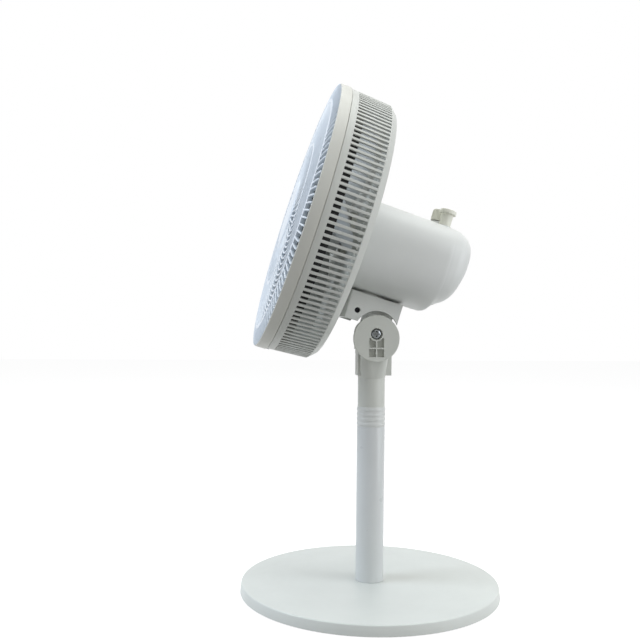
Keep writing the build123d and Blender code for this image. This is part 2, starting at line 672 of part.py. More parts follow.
def swivel_bush():
    """Sintered bush between post and carrier."""
    bush = drum(SWIVEL_BUSH_R, CHASSIS_BOTTOM, SWIVEL_BOSS_TOP, y=SWING_Y)
    return bush - drum(POST_R + RUNNING_GAP, 0, BIG, y=SWING_Y)


def thrust_washer():
    """Washer that carries the head on the bracket's turret."""
    ring = drum(15, TURRET_TOP + RUNNING_GAP, CHASSIS_BOTTOM, y=SWING_Y)
    return ring - drum(POST_R + 0.3, 0, BIG, y=SWING_Y)


def cover_section(y, inset=0.0, forward=0.0):
    """Face with the rounded-box outline that the motor cover has at y, made smaller or moved forward."""
    half_width, bottom, top = cover_size(y)
    half_width -= inset
    half_height = (top - bottom) / 2 - inset
    middle = (top + bottom) / 2
    points = []
    count = 28
    for i in range(count):
        angle = 2 * pi * i / count
        c, s = cos(angle), sin(angle)
        x = half_width * abs(c) ** (2 / COVER_POWER) * (1 if c > 0 else -1)
        z = half_height * abs(s) ** (2 / COVER_POWER) * (1 if s > 0 else -1)
        points.append((x, y - forward, middle + z))
    return make_face(Spline(*points, periodic=True))


def cover_size(y):
    """Half width, bottom height and top height of the cover at y."""
    stations = COVER_STATIONS
    for low, high in zip(stations, stations[1:]):
        if low[0] <= y <= high[0]:
            t = (y - low[0]) / (high[0] - low[0])
            return tuple(a + (b - a) * t for a, b in zip(low[1:], high[1:]))
    return stations[-1][1:] if y > stations[-1][0] else stations[0][1:]


def motor_cover():
    """Bucket-shaped cover over motor and gearbox, open at the front, with the swivel hole below."""
    outside = loft([cover_section(station[0]) for station in COVER_STATIONS], ruled=True)
    inner = []
    for station in COVER_STATIONS:
        y = station[0]
        if y <= COVER_BEND:
            inner.append(cover_section(y, COVER_WALL))
        else:
            inner.append(cover_section(y, COVER_WALL / 2, COVER_WALL))
    cavity = loft(inner, ruled=True)
    shell = outside - cavity
    shell += drum(DIAL_R - 0.6, 164, DIAL_BOSS_TOP, DIAL_X, CONTROL_Y)
    shell += drum(KNOB_STEM_R + 2.3, 152, 168, KNOB_X, CONTROL_Y)
    shell -= drum(SWITCH_SHAFT_R + 0.3, 150, BIG, DIAL_X, CONTROL_Y)
    shell -= drum(KNOB_STEM_R + 0.4, 140, BIG, KNOB_X, CONTROL_Y)
    shell -= drum(TURRET_R + 1.6, 0, 80, y=SWING_Y)
    shell -= at_gland(drum(GLAND_R, -20, 20))
    shell -= at_gland(drum(GLAND_FLANGE_R + 0.1, -20, GLAND_SEAT + 0.05))
    for x, z in COVER_SCREW_PLACES:
        boss = drum_y(COVER_BOSS_R, PLATE_FRONT + PLATE_T, COVER_BOSS_REAR, x, z)
        shell = shell + boss - drum_y(M4_R, PLATE_FRONT, COVER_BOSS_REAR - 8, x, z)
    return shell


def cover_screws():
    """Four screws through the mount plate into the cover's bosses, heads at the front."""
    screws = []
    seat = PLATE_FRONT + 2
    for x, z in COVER_SCREW_PLACES:
        screws.append(drum_y(M4_R, seat, -51, x, z) + drum_y(3.4, PLATE_FRONT + 0.1, seat, x, z))
    return Compound(children=screws)


def at_gland(shape):
    """Move a shape from the cord bush's frame, whose +Z points into the cover, to the head frame."""
    return Pos(0, GLAND_Y, GLAND_Z) * Rot(GLAND_LEAN, 0, 0) * shape


def cord_gland():
    """Flanged bush in the slope behind the chin where a power cord would enter."""
    gland = drum(GLAND_R, -GLAND_OUT, GLAND_IN) + drum(GLAND_FLANGE_R, -GLAND_OUT, GLAND_SEAT)
    return at_gland(gland - drum(GLAND_BORE_R, -BIG, BIG))


def motor_mount_plate():
    """Plate in the cover's mouth that carries motor, guard and carrier."""
    face = cover_section(PLATE_FRONT + PLATE_T, COVER_WALL + 0.1)
    plate = extrude(face, amount=PLATE_T, dir=(0, -1, 0))
    plate -= drum_y(MOTOR_NECK_R, -BIG, BIG)
    for x in (-18, 18):
        plate -= drum_y(M4_R, PLATE_FRONT + 0.5, BIG, x, 68)
    for x, z in COVER_SCREW_PLACES:
        plate -= drum_y(M4_R, -BIG, BIG, x, z)
        plate -= drum_y(3.5, -BIG, PLATE_FRONT + 2, x, z)
    return plate


def front_end_shield():
    """Front half of the motor housing with the threaded neck that holds the guard."""
    rear = PLATE_FRONT + PLATE_T
    cup = drum_y(MOTOR_R, rear, -39) - drum_y(STATOR_R, rear + 3, BIG)
    neck = drum_y(MOTOR_NECK_R, MOTOR_NECK_FRONT, rear)
    seat = drum_y(BUSH_R + 3, rear, -56)
    shield = cup + neck + seat - drum_y(BUSH_R, -66, BIG)
    return shield - drum_y(SHAFT_R + 1, -BIG, BIG)


def rear_end_shield():
    """Rear half of the motor housing."""
    cup = drum_y(MOTOR_R, -37, SHIELD_REAR) - drum_y(STATOR_R, -BIG, SHIELD_REAR - 3)
    seat = drum_y(BUSH_R + 3, -17, SHIELD_REAR)
    shield = cup + seat - drum_y(BUSH_R, -BIG, SHIELD_REAR - 1)
    return shield - drum_y(SHAFT_R + 1, -BIG, BIG)


def motor_bushes():
    """Front and rear bearings of the motor shaft."""
    bushes = []
    for front, rear in ((-66, -57), (-16, SHIELD_REAR - 1)):
        bushes.append(drum_y(BUSH_R, front, rear) - drum_y(SHAFT_R + RUNNING_GAP, -BIG, BIG))
    return Compound(children=bushes)


def stator_core():
    """Laminated stator ring with a bore for the rotor core."""
    return drum_y(STATOR_R, STATOR_FRONT, STATOR_REAR) - drum_y(STATOR_BORE_R, -BIG, BIG)


def stator_windings():
    """Winding heads on both sides of the stator."""
    rings = []
    for front, rear in ((-57.5, STATOR_FRONT), (STATOR_REAR, -18.5)):
        ring = drum_y(38, front, rear) - drum_y(27.5, -BIG, BIG)
        rings.append(fillet(ring.edges().filter_by(GeomType.CIRCLE), 2))
    return Compound(children=rings)


def capacitor():
    """Run capacitor on the back of the rear end shield."""
    can = block((-42, -14), (SHIELD_REAR, 12), (104, 140))
    return fillet(can.edges().filter_by(Axis.Y), 3)


def speed_switch():
    """Rotary switch under the dial."""
    body = block((DIAL_X - 14, DIAL_X + 14), (CONTROL_Y - 14, CONTROL_Y + 14), (146, 158))
    body += drum(6, 158, 163, DIAL_X, CONTROL_Y)
    return body - drum(SWITCH_SHAFT_R + RUNNING_GAP, 148, BIG, DIAL_X, CONTROL_Y)


# ---------------------------------------------------------------- guards
def radial_slot(inner_r, outer_r, count, rib):
    """Cutting tool for one gap between two ribs of constant thickness, drawn on +X."""
    half = pi / count
    points = []
    for radius, side in ((inner_r, -1), (outer_r, -1), (outer_r, 1), (inner_r, 1)):
        turn = side * (half - asin(rib / 2 / radius))
        points.append((radius * cos(turn), 0, radius * sin(turn)))
    return extrude(make_face(Polyline(*points, close=True)), amount=BIG, dir=(0, 1, 0))


def swirled_slot(inner_r, outer_r, count, rib):
    """Cutting tool for one gap between two swirled ribs: the turn grows with the cube of the way out."""
    steps = 6
    sides = ([], [])
    reach = GRILLE_RING_R - GRILLE_CAP_R
    for i in range(steps + 1):
        radius = inner_r + (outer_r - inner_r) * i / steps
        share = (radius - GRILLE_CAP_R) / reach
        middle = radians(GRILLE_SWIRL) * share ** 3
        slant = atan2(3 * radians(GRILLE_SWIRL) * share ** 2 * radius, reach)
        half = pi / count - asin(rib / 2 / cos(slant) / radius)
        for side, turn in zip(sides, (middle - half, middle + half)):
            side.append((radius * cos(turn), 0, radius * sin(turn)))
    outline = Polyline(*sides[0], *reversed(sides[1]), close=True)
    return extrude(make_face(outline), amount=BIG, dir=(0, 1, 0))


def around_fan_axis(tool, count, start=0.0):
    """Copies of a tool, drawn around the Y axis, around the fan axis."""
    return [Pos(0, 0, FAN_Z) * Rot(0, start + 360.0 * i / count, 0) * tool for i in range(count)]


def lip_radius(y):
    """Outside radius of the front guard's lip, just inside the tapered drum."""
    taper = (DRUM_FRONT_R - DRUM_REAR_R) / (DRUM_REAR - RING_REAR)
    return DRUM_FRONT_R - taper * (y - RING_REAR) - GUARD_WALL - LIP_GAP


def rear_guard():
    """Drum-shaped rear guard: long slots in the drum, a solid chamfer, two rows of slots in the back."""
    wall = GUARD_WALL
    outline = [(MOTOR_NECK_R, PLATE_FRONT), (GUARD_HUB_R, PLATE_FRONT), (GUARD_BACK_R, GUARD_BACK_RIM)]
    outline += [(DRUM_REAR_R, DRUM_REAR), (DRUM_FRONT_R, RING_REAR), (DRUM_FRONT_R - wall, RING_REAR)]
    outline += [(DRUM_REAR_R - wall, DRUM_REAR - 1), (GUARD_BACK_R - 1, GUARD_BACK_RIM - 3)]
    outline += [(GUARD_HUB_R, PLATE_FRONT - 3), (MOTOR_NECK_R, PLATE_FRONT - 3)]
    guard = turned_on_fan_axis(outline)
    half = DRUM_SLOT_W / 2
    side = block((DRUM_REAR_R - 8, DRUM_FRONT_R + 8), (SLOT_FRONT, SLOT_REAR), (-half, half))
    back_half = BACK_SLOT_W / 2
    back_y = (PLATE_FRONT - 8, PLATE_FRONT + 8)
    outer = block((BACK_RING_R, BACK_OUTER_R), back_y, (-back_half, back_half))
    inner = block((GUARD_HUB_R + 6, BACK_RING_R - 5), back_y, (-back_half, back_half))
    slots = around_fan_axis(side, DRUM_SLOTS)
    slots += around_fan_axis(outer, BACK_OUTER_SLOTS) + around_fan_axis(inner, BACK_SLOTS)
    slots.append(drum(GUARD_SCREW_R, -BIG, FAN_Z - BACK_RING_R, y=GUARD_SCREW_Y))
    slots.append(drum(GUARD_SCREW_HEAD_R, -BIG, FAN_Z - GUARD_SCREW_SEAT_R, y=GUARD_SCREW_Y))
    return guard - slots


def guard_nut():
    """Ring nut that clamps the rear guard on the motor's neck."""
    rear = PLATE_FRONT - 3
    nut = drum_y(30, rear - 7, rear) - drum_y(MOTOR_NECK_R, -BIG, BIG)
    return nut - around_fan_axis(Pos(31, -100, 0) * Rot(-90, 0, 0) * Cylinder(4, 60), 6)


def grille_front_y(radius):
    """Place of the grille's front face at a radius: a shallow elliptical dome inside the rim."""
    return RING_FRONT - GRILLE_CROWN * sqrt(1 - (radius / GRILLE_DOME_R) ** 2)


def front_guard():
    """Front guard: rim ring and domed grille of radial ribs, an intermediate ring and a centre seat."""
    radii = [0, 50, GRILLE_INNER_RING_R, 130, 150, 163, 172, 178, 180.5]
    front = [(r, grille_front_y(r)) for r in radii]
    back = [(r, grille_front_y(r) + GRILLE_DEPTH) for r in reversed(radii[:-1])]
    inner_r = RING_R - GUARD_WALL
    rim = [(RING_R, RING_FRONT + 1), (RING_R, RING_REAR), (inner_r, RING_REAR)]
    rim += [(inner_r, RING_FRONT + 5), (176, RING_FRONT + 3)]
    shell = turned_on_fan_axis(front + rim + back)
    lip_front, lip_rear = RING_REAR - 4, RING_REAR + LIP_H
    front_r, rear_r = lip_radius(RING_REAR), lip_radius(lip_rear)
    lip = [(inner_r + 0.5, lip_front), (inner_r + 0.5, RING_REAR - 0.5), (front_r, RING_REAR - 0.5)]
    lip += [(rear_r, lip_rear), (rear_r - LIP_T, lip_rear), (front_r - LIP_T, lip_front)]
    shell += turned_on_fan_axis(lip)
    shell -= drum(GUARD_SCREW_R, -BIG, 0, y=GUARD_SCREW_Y)
    place = Pos(0, -BIG / 2 - 140, 0)
    ring, inner_ring, half = GRILLE_RING_R, GRILLE_INNER_RING_R, GRILLE_RING_HALF_W
    straight = place * radial_slot(ring + half, GRILLE_RIM_R, GRILLE_OUTER_SLOTS, GRILLE_RIB_T)
    middle = place * swirled_slot(inner_ring + half, ring - half, GRILLE_MIDDLE_SLOTS, GRILLE_RIB_T)
    inner = place * swirled_slot(GRILLE_CAP_R + 3, inner_ring - half, GRILLE_INNER_SLOTS, GRILLE_RIB_T)
    shell -= around_fan_axis(straight, GRILLE_OUTER_SLOTS)
    shell -= around_fan_axis(middle, GRILLE_MIDDLE_SLOTS)
    shell -= around_fan_axis(inner, GRILLE_INNER_SLOTS)
    seat = [(0, -BIG), (GRILLE_CAP_R, -BIG), (GRILLE_CAP_R, cap_floor()), (0, cap_floor())]
    return shell - turned_on_fan_axis(seat)


def cap_floor():
    """Rear of the centre cap's seat in the grille."""
    return grille_front_y(GRILLE_CAP_R) + 2.0


def grille_cap():
    """Plain round cap in the middle of the grille."""
    edge = grille_front_y(GRILLE_CAP_R)
    points = [(0, cap_floor()), (GRILLE_CAP_R - 0.2, cap_floor()), (GRILLE_CAP_R - 0.2, edge - 0.4)]
    points += [(GRILLE_CAP_R - 2, edge - 1.4), (20, edge - 1.9), (0, edge - 2.0)]
    return turned_on_fan_axis(points)


def guard_screw():
    """Small screw from below that locks the two guards together."""
    seat = FAN_Z - GUARD_SCREW_SEAT_R
    head = drum(GUARD_SCREW_HEAD_R, seat - 1.5, seat, y=GUARD_SCREW_Y)
    head -= block((-2.2, 2.2), (GUARD_SCREW_Y - 0.4, GUARD_SCREW_Y + 0.4), (seat - 2, seat - 0.7))
    shank_top = FAN_Z - lip_radius(GUARD_SCREW_Y) + LIP_T
    return head + drum(GUARD_SCREW_R, seat, shank_top, y=GUARD_SCREW_Y)


# ---------------------------------------------------------------- rotor
def worm_thread():
    """Right-handed thread of the worm."""
    lead = pi * GEAR_MODULE
    crest, root = WORM_R + 0.85, WORM_R - 1.0
    turns = 6
    path = Helix(lead, lead * turns, root)
    corners = [(root - 0.4, 0, -0.62), (crest, 0, -0.28), (crest, 0, 0.28), (root - 0.4, 0, 0.62)]
    thread = sweep(make_face(Polyline(*corners, close=True)), path=path, is_frenet=True)
    # a crest of the thread faces the wheel in the wheel's own plane
    return Pos(0, WHEEL_Y - lead * turns / 2, FAN_Z) * Rot(-90, 0, 0) * thread


def motor_shaft():
    """Steel shaft: blade seat in front, worm behind."""
    worm_half = 11
    worm_front, worm_rear = WHEEL_Y - worm_half, WHEEL_Y + worm_half
    shaft = drum_y(SHAFT_R, -128, worm_front - 2) + drum_y(WORM_R - 1.0, worm_front - 2, worm_rear)
    shaft += drum_y(3.0, worm_rear, worm_rear + 5)
    shaft += worm_thread()
    return shaft - drum_x(1.5, -BIG, BIG, y=-104, z=FAN_Z)


def rotor_core():
    """Squirrel-cage rotor on the shaft with its two end rings."""
    core = drum_y(ROTOR_CORE_R, STATOR_FRONT, STATOR_REAR)
    core += drum_y(ROTOR_CORE_R - 4, STATOR_FRONT - 3, STATOR_REAR + 3)
    return core - drum_y(SHAFT_R, -BIG, BIG)


def blade():
    """One twisted blade, lofted through chord sections from hub to tip, drawn on +X."""
    sections = []
    # radius, chord, pitch from the disc plane, sweep angle, depth of the mid chord
    for radius, chord, pitch, sweep_angle, depth in (
        (28, 38, 40, 0, -102),
        (70, 84, 33, 2, -103),
        (112, 112, 26, 5, -104),
        (BLADE_R, 118, 21, 10, -105),
    ):
        face = Rot(0, 90, 0) * Rot(0, 0, pitch) * RectangleRounded(chord, BLADE_T, 1.1)
        sections.append(Rot(0, -sweep_angle, 0) * Pos(radius, depth, 0) * face)
    whole = loft(sections)
    return whole & (Pos(0, -100, 0) * Rot(-90, 0, 0) * Cylinder(BLADE_R, 80))


def fan_blade():
    """Five-bladed impeller with a cup-shaped hub."""
    hub = drum_y(HUB_R, HUB_FRONT, HUB_REAR)
    hub = fillet([e for e in hub.edges().filter_by(GeomType.CIRCLE) if e.arc_center.Y < HUB_FRONT + 1], 6)
    one = blade()
    wheel = hub
    for placed in around_fan_axis(one, BLADE_COUNT):
        wheel += placed
    wheel -= drum_y(HUB_R - 3, HUB_FRONT + 4, BIG)
    wheel += drum_y(9, HUB_FRONT + 3, HUB_REAR - 2)
    wheel -= drum_y(SHAFT_R, -BIG, BIG)
    return wheel - drum_x(1.5, -12, 12, y=-104, z=FAN_Z)


def drive_pin():
    """Cross pin that drives the blade."""
    return drum_x(1.5, -8.5, 8.5, y=-104, z=FAN_Z)


def blade_nut():
    """Domed left-hand nut that holds the blade on the shaft."""
    nut = drum_y(14, -134, HUB_FRONT)
    nut = fillet([e for e in nut.edges().filter_by(GeomType.CIRCLE) if e.arc_center.Y < -133], 5)
    nut -= around_fan_axis(Pos(15.5, -127, 0) * Rot(-90, 0, 0) * Cylinder(3, 40), 8)
    return nut - drum_y(SHAFT_R, -128, BIG)


# ---------------------------------------------------------------- controls
def speed_dial():
    """Round dial with a finger bar groove in its top."""
    dial = drum(DIAL_R, DIAL_BOTTOM, DIAL_TOP, DIAL_X, CONTROL_Y)
    dial = fillet(edges_at(dial, DIAL_R, DIAL_TOP), 1.2)
    dial -= block((DIAL_X - 0.7, DIAL_X + 0.7), (CONTROL_Y - DIAL_R, CONTROL_Y - 5), (DIAL_TOP - 0.8, BIG))
    return dial - drum(SWITCH_SHAFT_R, 0, DIAL_TOP - 5, DIAL_X, CONTROL_Y)


def switch_shaft():
    """Shaft of the rotary switch, turned by the dial."""
    return drum(SWITCH_SHAFT_R, 149, DIAL_TOP - 5, DIAL_X, CONTROL_Y)


def swing_knob():
    """Mushroom-shaped pull knob, shown pulled up."""
    knob = drum(KNOB_STEM_R, KNOB_STEM_BOTTOM, KNOB_TOP - 1, KNOB_X, CONTROL_Y)
    cap = drum(KNOB_CAP_R, KNOB_CAP_BOTTOM, KNOB_TOP, KNOB_X, CONTROL_Y)
    knob += fillet(edges_at(cap, KNOB_CAP_R, KNOB_TOP), 1.6)
    return knob - drum(ROD_R, 0, KNOB_TOP - 6, KNOB_X, CONTROL_Y)


def clutch_rod():
    """Rod from the pull knob down into the worm wheel's clutch."""
    return drum(ROD_R, FAN_Z + 7.5, KNOB_TOP - 6, KNOB_X, CONTROL_Y)


# ---------------------------------------------------------------- write the parts
STAND = [base_cover, base_weight, weight_screws, rubber_feet, pole_nut, pole_lower, pole_collar, neck_fork,
         tilt_bolt, tilt_nut, tilt_washers]
HEAD = [tilt_bracket, bracket_screws, swivel_post, swivel_circlip, link_pin, chassis, chassis_screws,
        swivel_bush, thrust_washer, motor_mount_plate, motor_cover, cover_screws, cord_gland, front_end_shield,
        rear_end_shield, motor_bushes, stator_core, stator_windings, capacitor, speed_switch, gearbox_case,
        crank_axle, rear_guard, guard_nut, front_guard, grille_cap, guard_screw, motor_shaft, rotor_core,
        fan_blade, drive_pin, blade_nut, worm_wheel, output_pinion, crank_gear, link, speed_dial, switch_shaft,
        swing_knob, clutch_rod]


def write(name, shape):
    """Write one sub-part."""
    export_step(shape, os.path.join(OUT_DIR, name + ".step"))


def main():
    """Build every sub-part in place and write it."""
    os.makedirs("parts", exist_ok=True)
    for make in STAND:
        write(make.__name__, make())
    for make in HEAD:
        write(make.__name__, in_head(make()))


if __name__ == "__main__":
    main()
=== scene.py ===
import logging
import math
from collections.abc import Sequence
from dataclasses import dataclass, field
from enum import Enum

import bmesh
import bpy
from mathutils import Matrix, Vector


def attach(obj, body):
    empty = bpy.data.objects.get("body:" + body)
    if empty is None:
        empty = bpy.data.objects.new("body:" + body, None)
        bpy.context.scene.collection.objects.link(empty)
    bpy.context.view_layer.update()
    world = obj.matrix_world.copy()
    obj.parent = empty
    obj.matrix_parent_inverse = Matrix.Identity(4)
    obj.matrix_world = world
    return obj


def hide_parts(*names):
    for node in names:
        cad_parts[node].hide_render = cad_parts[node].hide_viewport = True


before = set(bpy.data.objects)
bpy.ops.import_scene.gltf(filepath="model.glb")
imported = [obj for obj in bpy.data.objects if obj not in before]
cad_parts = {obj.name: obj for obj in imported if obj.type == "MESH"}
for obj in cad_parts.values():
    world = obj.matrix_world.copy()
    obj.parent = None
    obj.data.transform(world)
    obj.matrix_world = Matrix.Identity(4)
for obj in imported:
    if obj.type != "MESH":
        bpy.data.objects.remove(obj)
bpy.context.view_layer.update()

# Looks of a stand fan: round base, ribbed pole, forked neck, tilting and swinging head in a round guard.
# Sizes are in millimetres in the classes and become metres in millimetres(). The head is drawn in its
# own frame, with the tilt axis as origin and y to the rear along the fan axis, and leaned back by HEAD.
# Round pieces on the fan axis are turned about Z first; FAN then lays their height along that axis.

MM = 0.001
TILT_AXIS_HEIGHT = 353.0
HEAD_LEAN = 17.0
FAN_AXIS_HEIGHT = 120.0
SHARP_ANGLE = 32.0  # degrees of bend from which an edge stays sharp
MERGE_DISTANCE = 1e-6  # metres
ON_AXIS = 1e-6  # radii up to this lie on the axis
DRILL_SHARP_ANGLE = 40.0
DRILL_SEGMENTS = 64

Point2 = tuple[float, float]
Point3 = tuple[float, float, float]
Colour = tuple[float, float, float]
Piece = bpy.types.Object
Socket = bpy.types.NodeSocket
log = logging.getLogger("fan")


# ------------------------------------------------------------------ places
def moved(x: float, y: float, z: float = 0.0) -> Matrix:
    """Shift by a distance in millimetres."""
    return Matrix.Translation(Vector((x, y, z)) * MM)


def turned_by(degrees: float, axis: str) -> Matrix:
    """Turn about one of the axes X, Y and Z."""
    return Matrix.Rotation(math.radians(degrees), 4, axis)


WORLD = Matrix.Identity(4)
TILT_AXIS = Matrix.Translation((0, 0, TILT_AXIS_HEIGHT * MM))
HEAD = TILT_AXIS @ turned_by(-HEAD_LEAN, "X")
FAN = HEAD @ Matrix.Translation((0, 0, FAN_AXIS_HEIGHT * MM)) @ turned_by(-90, "X")


# ------------------------------------------------------------------ small helpers
def linear(red: float, green: float, blue: float) -> tuple[float, float, float, float]:
    """Linear colour from 0-255 display values."""

    def channel(value: float) -> float:
        value /= 255
        return value / 12.92 if value <= 0.04045 else ((value + 0.055) / 1.055) ** 2.4

    return channel(red), channel(green), channel(blue), 1.0


def millimetres(points: Sequence[Sequence[float]]) -> list[Vector]:
    """Points given in millimetres as vectors in metres."""
    return [Vector(p) * MM for p in points]


def rounded(corners: Sequence[Point2 | Point3], steps: int) -> list[Point2]:
    """Closed outline with rounded corners.

    Args:
        corners: each corner as (x, y, radius); it stays sharp with a radius of 0 or none.
        steps: segments of each rounding.

    Returns:
        The outline's points in order.
    """
    outline: list[Point2] = []
    count = len(corners)
    for index, (x, y, *rounding) in enumerate(corners):
        radius = sum(rounding)
        here = Vector((x, y))
        back = Vector(corners[index - 1][:2]) - here
        ahead = Vector(corners[(index + 1) % count][:2]) - here
        if radius <= 0:
            outline.append((x, y))
            continue
        half = back.angle(ahead) / 2
        reach = min(radius / math.tan(half), 0.49 * back.length, 0.49 * ahead.length)
        actual = reach * math.tan(half)
        centre = here + (back.normalized() + ahead.normalized()).normalized() * (actual / math.sin(half))
        first = here + back.normalized() * reach - centre
        turn = first.angle_signed(here + ahead.normalized() * reach - centre)
        for step in range(steps + 1):
            angle = -turn * step / steps
            c, s = math.cos(angle), math.sin(angle)
            outline.append((centre.x + first.x * c - first.y * s, centre.y + first.x * s + first.y * c))
    return outline


def linked(name: str, data: bpy.types.ID) -> Piece:
    """New object in the scene around a mesh, lamp or camera."""
    piece = bpy.data.objects.new(name, data)
    bpy.context.scene.collection.objects.link(piece)
    return piece


def mesh_object(name: str, verts: Sequence[Vector], faces: Sequence[Sequence[int]], place: Matrix = WORLD,
                sharp: float = SHARP_ANGLE) -> Piece:
    """A closed mesh piece with its place in its vertices, merged, facing outwards and smooth-shaded.

    Args:
        name: name of the piece.
        verts: vertices in metres, before place is applied.
        faces: vertex indices of each face.
        place: where it goes in the fan's frame.
        sharp: degrees of bend from which an edge stays sharp.

    Returns:
        The new object, linked to the scene.
    """
    mesh = bpy.data.meshes.new(name)
    mesh.from_pydata(verts, [], faces)
    mesh.transform(place)
    piece = linked(name, mesh)
    tidy_mesh(piece, sharp)
    return piece


def tidy_mesh(piece: Piece, sharp: float = SHARP_ANGLE) -> None:
    """Merge doubles, turn the faces outwards and mark sharp edges.

    Args:
        piece: mesh object to tidy.
        sharp: degrees of bend from which an edge stays sharp.
    """
    work = bmesh.new()
    work.from_mesh(piece.data)
    bmesh.ops.remove_doubles(work, verts=work.verts, dist=MERGE_DISTANCE)
    bmesh.ops.recalc_face_normals(work, faces=work.faces)
    work.to_mesh(piece.data)
    work.free()
    piece.data.shade_smooth()
    piece.data.set_sharp_from_angle(angle=math.radians(sharp))


def turned(name: str, corners: Sequence[Point2 | Point3], place: Matrix = WORLD, segments: int = 128,
           steps: int = 4) -> Piece:
    """A solid of revolution about Z.

    Args:
        name: name of the piece.
        corners: closed outline of (radius, height) or (radius, height, rounding) in millimetres.
        place: where it goes in the fan's frame.
        segments: number of steps around the axis.
        steps: segments of each rounded corner.

    Returns:
        The new object.
    """
    verts: list[Vector] = []
    rings: list[list[int]] = []
    for radius, height in rounded(corners, steps):
        if radius <= ON_AXIS:
            rings.append([len(verts)] * segments)
            verts.append(Vector((0, 0, height)) * MM)
            continue
        rings.append(list(range(len(verts), len(verts) + segments)))
        for step in range(segments):
            angle = math.tau * step / segments
            verts.append(Vector((radius * math.cos(angle), radius * math.sin(angle), height)) * MM)
    faces: list[list[int]] = []
    for low, high in zip(rings, rings[1:] + rings[:1]):
        for step in range(segments):
            following = (step + 1) % segments
            loop = [low[step], low[following], high[following], high[step]]
            face = [v for i, v in enumerate(loop) if v != loop[i - 1]]
            if len(face) > 2:
                faces.append(face)
    return mesh_object(name, verts, faces, place)


def lofted(name: str, sections: Sequence[Sequence[Vector]], open_start: bool = False,
           sharp: float = SHARP_ANGLE) -> Piece:
    """A skin through closed sections with the same number of points, capped at its ends.

    Args:
        name: name of the piece.
        sections: outlines in metres, from one end to the other.
        open_start: leave out the cap on the first section.
        sharp: degrees of bend from which an edge stays sharp.

    Returns:
        The new object.
    """
    count = len(sections[0])
    verts = [point for section in sections for point in section]
    faces: list[list[int]] = []
    for row in range(len(sections) - 1):
        for step in range(count):
            following = (step + 1) % count
            base = row * count
            faces.append([base + step, base + following, base + count + following, base + count + step])
    if not open_start:
        faces.append(list(range(count))[::-1])
    faces.append(list(range(len(verts) - count, len(verts))))
    return mesh_object(name, verts, faces, sharp=sharp)


def tapered(name: str, rows: Sequence[Point3]) -> Piece:
    """A four-sided block about the Z axis through rows of (half x, half y, height) in millimetres."""
    return lofted(name, [millimetres([(-x, -y, z), (x, -y, z), (x, y, z), (-x, y, z)]) for x, y, z in rows])


def smooth_between(stations: Sequence[Sequence[float]], steps: int) -> list[list[float]]:
    """Rows of numbers that run smoothly through the given rows (a Catmull-Rom spline).

    Args:
        stations: rows to pass through.
        steps: new rows per gap.

    Returns:
        The finer rows, first and last included.
    """
    padded = [stations[0], *stations, stations[-1]]
    rows: list[list[float]] = []
    for i in range(1, len(padded) - 2):
        for step in range(steps):
            t = step / steps
            row = []
            for a, b, c, d in zip(padded[i - 1], padded[i], padded[i + 1], padded[i + 2]):
                row.append(0.5 * (2 * b + (c - a) * t + (2 * a - 5 * b + 4 * c - d) * t**2
                                  + (3 * b - a - 3 * c + d) * t**3))
            rows.append(row)
    rows.append(list(stations[-1]))
    return rows


def subtract(piece: Piece, tool: Piece, sharp: float = SHARP_ANGLE) -> None:
    """Cut the tool out of the piece and delete the tool."""
    cut = piece.modifiers.new("cut", "BOOLEAN")
    cut.operation = "DIFFERENCE"
    cut.solver = "EXACT"
    cut.object = tool
    bake_modifiers(piece)
    bpy.data.objects.remove(tool)
    tidy_mesh(piece, sharp)


def cross_recess(piece: Piece, reach: float, half: float, mouth: float, floor: float,
                 taper: Point2) -> None:
    """Cut a cross recess for a screwdriver along the Z axis.

    Args:
        piece: screw or bolt that is cut.
        reach: half length of each arm at the mouth.
        half: half width of each arm at the mouth.
        mouth: height of the tool's wide end, outside the head.
        floor: height of the recess's bottom.
        taper: how far the tool narrows to its floor along x and along y.
    """
    for x, y in ((reach, half), (half, reach)):
        rows = [(x, y, mouth), (x * taper[0], y * taper[1], floor)]
        subtract(piece, tapered("recess", rows if mouth < floor else rows[::-1]))


def drill(piece: Piece, radius: float, cut: Point2, place: Matrix) -> None:
    """Cut a round hole along place's Z axis, from the cut's low to its high end."""
    low, high = cut
    tool = turned("drill", [(0, low), (radius, low), (radius, high), (0, high)], place, DRILL_SEGMENTS)
    subtract(piece, tool, DRILL_SHARP_ANGLE)


def bake_modifiers(piece: Piece) -> None:
    """Replace the piece's mesh by its evaluated result and remove the modifiers."""
    graph = bpy.context.evaluated_depsgraph_get()
    result = bpy.data.meshes.new_from_object(piece.evaluated_get(graph))
    piece.modifiers.clear()
    piece.data = result
    result.name = piece.name


def joined(name: str, pieces: Sequence[Piece]) -> Piece:
    """One object out of several mesh objects, which keep their materials' order and shading."""
    work = bmesh.new()
    for piece in pieces:
        work.from_mesh(piece.data)
    mesh = bpy.data.meshes.new(name)
    work.to_mesh(mesh)
    work.free()
    for piece in pieces:
        bpy.data.objects.remove(piece)
    return linked(name, mesh)


class Body(str, Enum):
    """The bodies that the new pieces ride on."""

    STAND = "stand"
    HEAD = "head"
    ROTOR = "rotor"
    DIAL = "speed_dial"
    KNOB = "swing_knob"


def fit(piece: Piece, body: Body, slot: str, finish: "Finish", *replaced: str) -> None:
    """Dress a piece, tie it to its body and hide the solids that it stands for.

    Args:
        piece: the finished mesh object.
        body: body that it rides on.
        slot: material slot of the record; not used.
        finish: its finish.
        replaced: names of the CAD nodes that it stands for.
    """
    piece.data.materials.clear()
    piece.data.materials.append(finish.material())
    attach(piece, body.value)
    if replaced:
        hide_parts(*replaced)
    log.info("%s: %d faces on %s", piece.name, len(piece.data.polygons), body.value)


